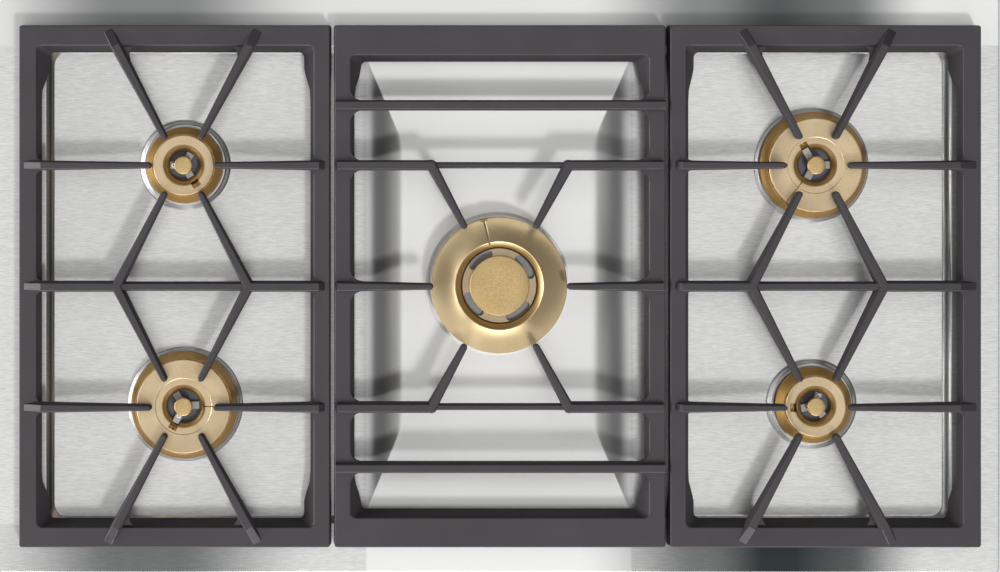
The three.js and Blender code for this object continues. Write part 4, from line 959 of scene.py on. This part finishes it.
def make_igniter(name, centre, angle, with_arm):
    """The ceramic sleeve and its electrode, and on a large burner the bright arm beside them."""
    low, high = node_box(f"igniter_{name}")
    tip = high[2]
    sleeve_radius = IGNITER["sleeve"]
    x, y = polar(IGNITER["at"] + (IGNITER["by_arm"] if with_arm else IGNITER["alone"]), angle)
    sleeve = lathe(f"ceramic_sleeve_{name}", [
        (IGNITER["bore"], low[2]), (sleeve_radius, low[2]), (sleeve_radius, tip - 1.4),
        *arc(1.35, tip - 1.2, 0.75, -15, 180, 8), (0.6, tip - 2.2)], segments=32)
    pin_radius, pin_tip = IGNITER["electrode"], tip - 0.8
    pin = lathe(f"electrode_{name}", [
        (0, low[2]), (pin_radius, low[2]), (pin_radius, pin_tip), (0, pin_tip)], segments=16, closed=False)
    arm = None
    if with_arm:
        arm = block(f"igniter_arm_{name}", (ARM["length"], ARM["width"], ARM["thickness"]),
                    (ARM["at"], 0, tip - ARM["drop"]), angle, centre)
        round_edges(arm, ARM["round"])
    return moved(sleeve, x, y, centre=centre), moved(pin, x, y, centre=centre), arm


def second_material(obj, material, radius):
    """Gives the faces within radius of a turned piece's axis another material."""
    obj.data.materials.append(material)
    for face in obj.data.polygons:
        face.material_index = int(face.center.xy.length < radius * MM)


for name, angles in CORNERS.items():
    middle, base_radius = flame_ring_place(name)
    form = LARGE if base_radius > LARGE_BASE else SMALL
    place(make_flame_ring(name, middle, base_radius, form), DARK_BRASS, f"flame_ring_{name}")
    lid = make_lid(name, middle, form, angles["notch"], angles["slit"])
    place(lid, LIGHT_BRASS, f"burner_lid_{name}")
    # Painted shade: the inner part of the funnel gets darker brass.
    second_material(lid, SHADED_FUNNEL_BRASS, form["hole"] + SHADED_FUNNEL_SHARE * form["funnel"])
    place(make_cap(name, middle), CAP_BRASS, f"burner_cap_{name}")
    dish, lugs = make_inner_burner(name, middle, angles["igniter"], form["hole"])
    place(dish, DARK_ALUMINIUM, f"inner_burner_{name}", BASE)
    place(lugs, LUG_ALUMINIUM, body=BASE)
    sleeve, pin, arm = make_igniter(name, middle, angles["igniter"], form is LARGE)
    place(sleeve, CERAMIC, f"igniter_{name}", BASE)
    place(pin, ELECTRODE, body=BASE)
    if arm:
        place(arm, ARM_STEEL, body=BASE)


# ---- wok burner

def make_wok_ring():
    """The wide cone with its lip and throat, a slit down its back, and ports round its foot."""
    ring, lip, throat = WOK["ring"], WOK["lip"], WOK["throat"]
    top, rim = PLATE_TOP + WOK["top"], PLATE_TOP + WOK["rim"]
    seat = node_box("flame_ring_wok")[0][2]
    body = lathe("wok_ring", [
        (ring, seat), (ring, rim - 0.9), *arc(ring - 0.7, rim - 0.3, 0.7, 0, 68, 4),
        (ring - 1.6, rim + 0.55), (ring - 2.4, rim + 0.75),
        (lip + 1.9, top - 0.55), *arc(lip + 1.1, top - 0.6, 0.65, 60, 125, 4),
        (lip + 0.3, top - 0.5), (throat + 0.3, top - 3.4), (throat, top - 4.2), (throat, seat + 8),
        (throat + 3, seat + 8), (throat + 3, top - 6), (ring - 3, rim - 3), (ring - 3, seat)],
        segments=WOK["segments"])
    cuts = [block("slit", (ring - lip + 1, SLIT_WIDTH, WOK["slit_height"]),
                  ((ring + lip) / 2 + 0.5, 0, (top + rim) / 2 + 1.6), WOK["slit"],
                  lean=degrees(atan2(top - rim, ring - lip)))]
    cuts.append(block("crossover", CROSSOVER, (ring, 0, rim - 1), WOK["slit"]))
    for i in range(WOK["ports"]):
        cuts.append(block(f"port_{i}", WOK_PORT, (ring, 0, rim - 4), 360 * i / WOK["ports"]))
    return cut(body, cuts)


def kidney(turn, low, high):
    """The cutter for one kidney-shaped slot: two arcs with round ends."""
    half = WOK["slot_span"] / 2
    middle = (WOK["slot_outer"] + WOK["slot_inner"]) / 2
    width = (WOK["slot_outer"] - WOK["slot_inner"]) / 2

    def round_end(angle, start):
        return arc(*polar(middle, angle), width, start, start + 180, 10)[1:-1]

    outline = [*arc(0, 0, middle + width, -half, half, 10), *round_end(half, half),
               *arc(0, 0, middle - width, half, -half, 10), *round_end(-half, 180 - half)]
    tool = prism(f"kidney_{turn}", outline, low, high)
    tool.data.transform(Matrix.Rotation(radians(turn), 4, "Z"))
    return tool


def make_wok_head():
    """The slotted ring round the wok burner's cap, and the grey floor that shows in its slots."""
    head, top = WOK["head"], PLATE_TOP + WOK["head_top"]
    bottom = node_box("burner_head_wok")[0][2]
    body = lathe("wok_head", [
        (0, top - 3), (head - 9.5, top - 3), (head - 9.0, bottom), (head - 1.2, bottom),
        (head - 0.2, bottom + 1.2), (head, top - 1.0), *arc(head - 0.8, top - 0.8, 0.8, 0, 90, 5), (0, top)],
        segments=WOK["segments"], closed=False)
    cut(body, [kidney(WOK["slot_turn"] + turn, bottom - 2, top + 2) for turn in (0, 90, 180, 270)])
    inner, outer = WOK["slot_inner"] + 0.3, WOK["slot_outer"] - 0.3
    floor = lathe("wok_head_floor", [
        (inner, bottom + 1), (outer, bottom + 1), (outer, top - WOK["slot_floor"]),
        (inner, top - WOK["slot_floor"])])
    return round_edges(body, 0.25), floor


def make_wok_cap():
    """The wide, nearly flat cap of the wok burner."""
    seat = PLATE_TOP + WOK["head_top"] + LID_GAP
    top = PLATE_TOP + WOK["cap_top"]
    cap = WOK["cap"]
    return lathe("wok_cap", [
        (0, seat), (cap - 1, seat), (cap - 0.2, seat + 0.8), (cap, top - 1.4),
        *arc(cap - 1.0, top - 1.5, 1.0, 0, 75, 6), (cap * 0.6, top - 0.14), (0, top)], closed=False)


wok_ring = place(make_wok_ring(), WOK_BRASS, "flame_ring_wok")
# Painted shade: the throat inside the lip gets darker brass.
second_material(wok_ring, SHADED_THROAT_BRASS, WOK["lip"] + 0.5)
wok_head, wok_floor = make_wok_head()
place(wok_head, PALE_BRASS, "burner_head_wok")
place(wok_floor, GREY_CAST, body="burner_head_wok")
place(make_wok_cap(), CAP_BRASS, "burner_cap_wok")


# ---- carried-over nodes

# The finish of the nodes that are shown as they are, by the start of their names.
FINISHES = {
    "rim_seal": RUBBER, "housing_tray": ZINC, "worktop_clamp": ZINC, "burner_cup": DARK_ALUMINIUM,
    "igniter_wok": CERAMIC, "gas_jet": GAS_BRASS, "gas_valve": GAS_BRASS, "gas_pipe": GAS_STEEL,
    "gas_manifold": GAS_STEEL, "ignition_box": PLASTIC,
}
for node_name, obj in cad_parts.items():
    for start, material in FINISHES.items():
        if node_name.startswith(start):
            for slot in obj.material_slots:
                slot.material = material


# ---- floor, light and camera

def make_floor():
    bm = bmesh.new()
    bmesh.ops.create_grid(bm, x_segments=1, y_segments=1, size=FLOOR["half"])
    floor = new_object("floor", bm)
    grey = FLOOR["grey"]
    nodes = Nodes("floor_paper", Roughness=0.9, Base_Color=(grey, grey, grey, 1.0))
    floor.data.materials.append(nodes.material)
    floor.location.z = FLOOR["level"] * MM


def make_world():
    """A studio dome with a bright oval panel overhead, longer from front to back than from side to side."""
    world = bpy.data.worlds.new("studio")
    bpy.context.scene.world = world
    world.use_nodes = True
    tree = world.node_tree
    coordinates = add_node(tree, "ShaderNodeTexCoord")
    squeeze = add_node(tree, "ShaderNodeMapping", {
        "Vector": coordinates.outputs["Generated"],
        "Location": (0.0, PANEL["forward"] / PANEL["reach_y"], 0.0),
        "Scale": (1 / PANEL["reach_x"], 1 / PANEL["reach_y"], 0.0)})
    distance = add_node(tree, "ShaderNodeVectorMath", {0: squeeze.outputs["Vector"]}, operation="LENGTH")
    ramp = add_node(tree, "ShaderNodeValToRGB", {"Fac": distance.outputs["Value"]})
    tree.links.new(ramp.outputs["Color"], tree.nodes["Background"].inputs["Color"])
    for element, position, grey in zip(ramp.color_ramp.elements, (PANEL["edge"], PANEL["end"]),
                                       (PANEL["light"], PANEL["dark"])):
        element.position = position
        element.color = (grey, grey, grey, 1.0)


def make_lamp(name, spot, size, power, withheld):
    data = bpy.data.lights.new(name, "AREA")
    data.shape = "RECTANGLE"
    data.size, data.size_y = size[0] * MM, size[1] * MM
    data.energy = power
    lamp = bpy.data.objects.new(name, data)
    lamp.location = Vector(spot) * MM
    lamp.rotation_euler = (Vector(spot) - Vector(LAMP_AIM)).to_track_quat("Z", "Y").to_euler()
    if withheld:
        setattr(lamp, withheld, False)
    bpy.context.scene.collection.objects.link(lamp)


def make_camera():
    """The camera at the photograph's place, which the lens shift moves off the picture's middle."""
    data = bpy.data.cameras.new("camera")
    data.sensor_width = SENSOR
    data.lens = PIXELS_PER_MM * VIEW_HEIGHT / FRAME_WIDTH * SENSOR
    data.shift_x = (MIDDLE_X - LENS_X) / FRAME_WIDTH
    data.shift_y = (LENS_Y - MIDDLE_Y) / FRAME_WIDTH
    data.clip_end = 20.0
    camera = bpy.data.objects.new("camera", data)
    camera.location = Vector((VIEW_X, VIEW_Y, PLATE_TOP + VIEW_HEIGHT)) * MM
    bpy.context.scene.collection.objects.link(camera)
    bpy.context.scene.camera = camera


make_floor()
make_world()
make_camera()
for lamp_values in LAMPS:
    make_lamp(*lamp_values)

bpy.context.scene.view_settings.view_transform = "Standard"
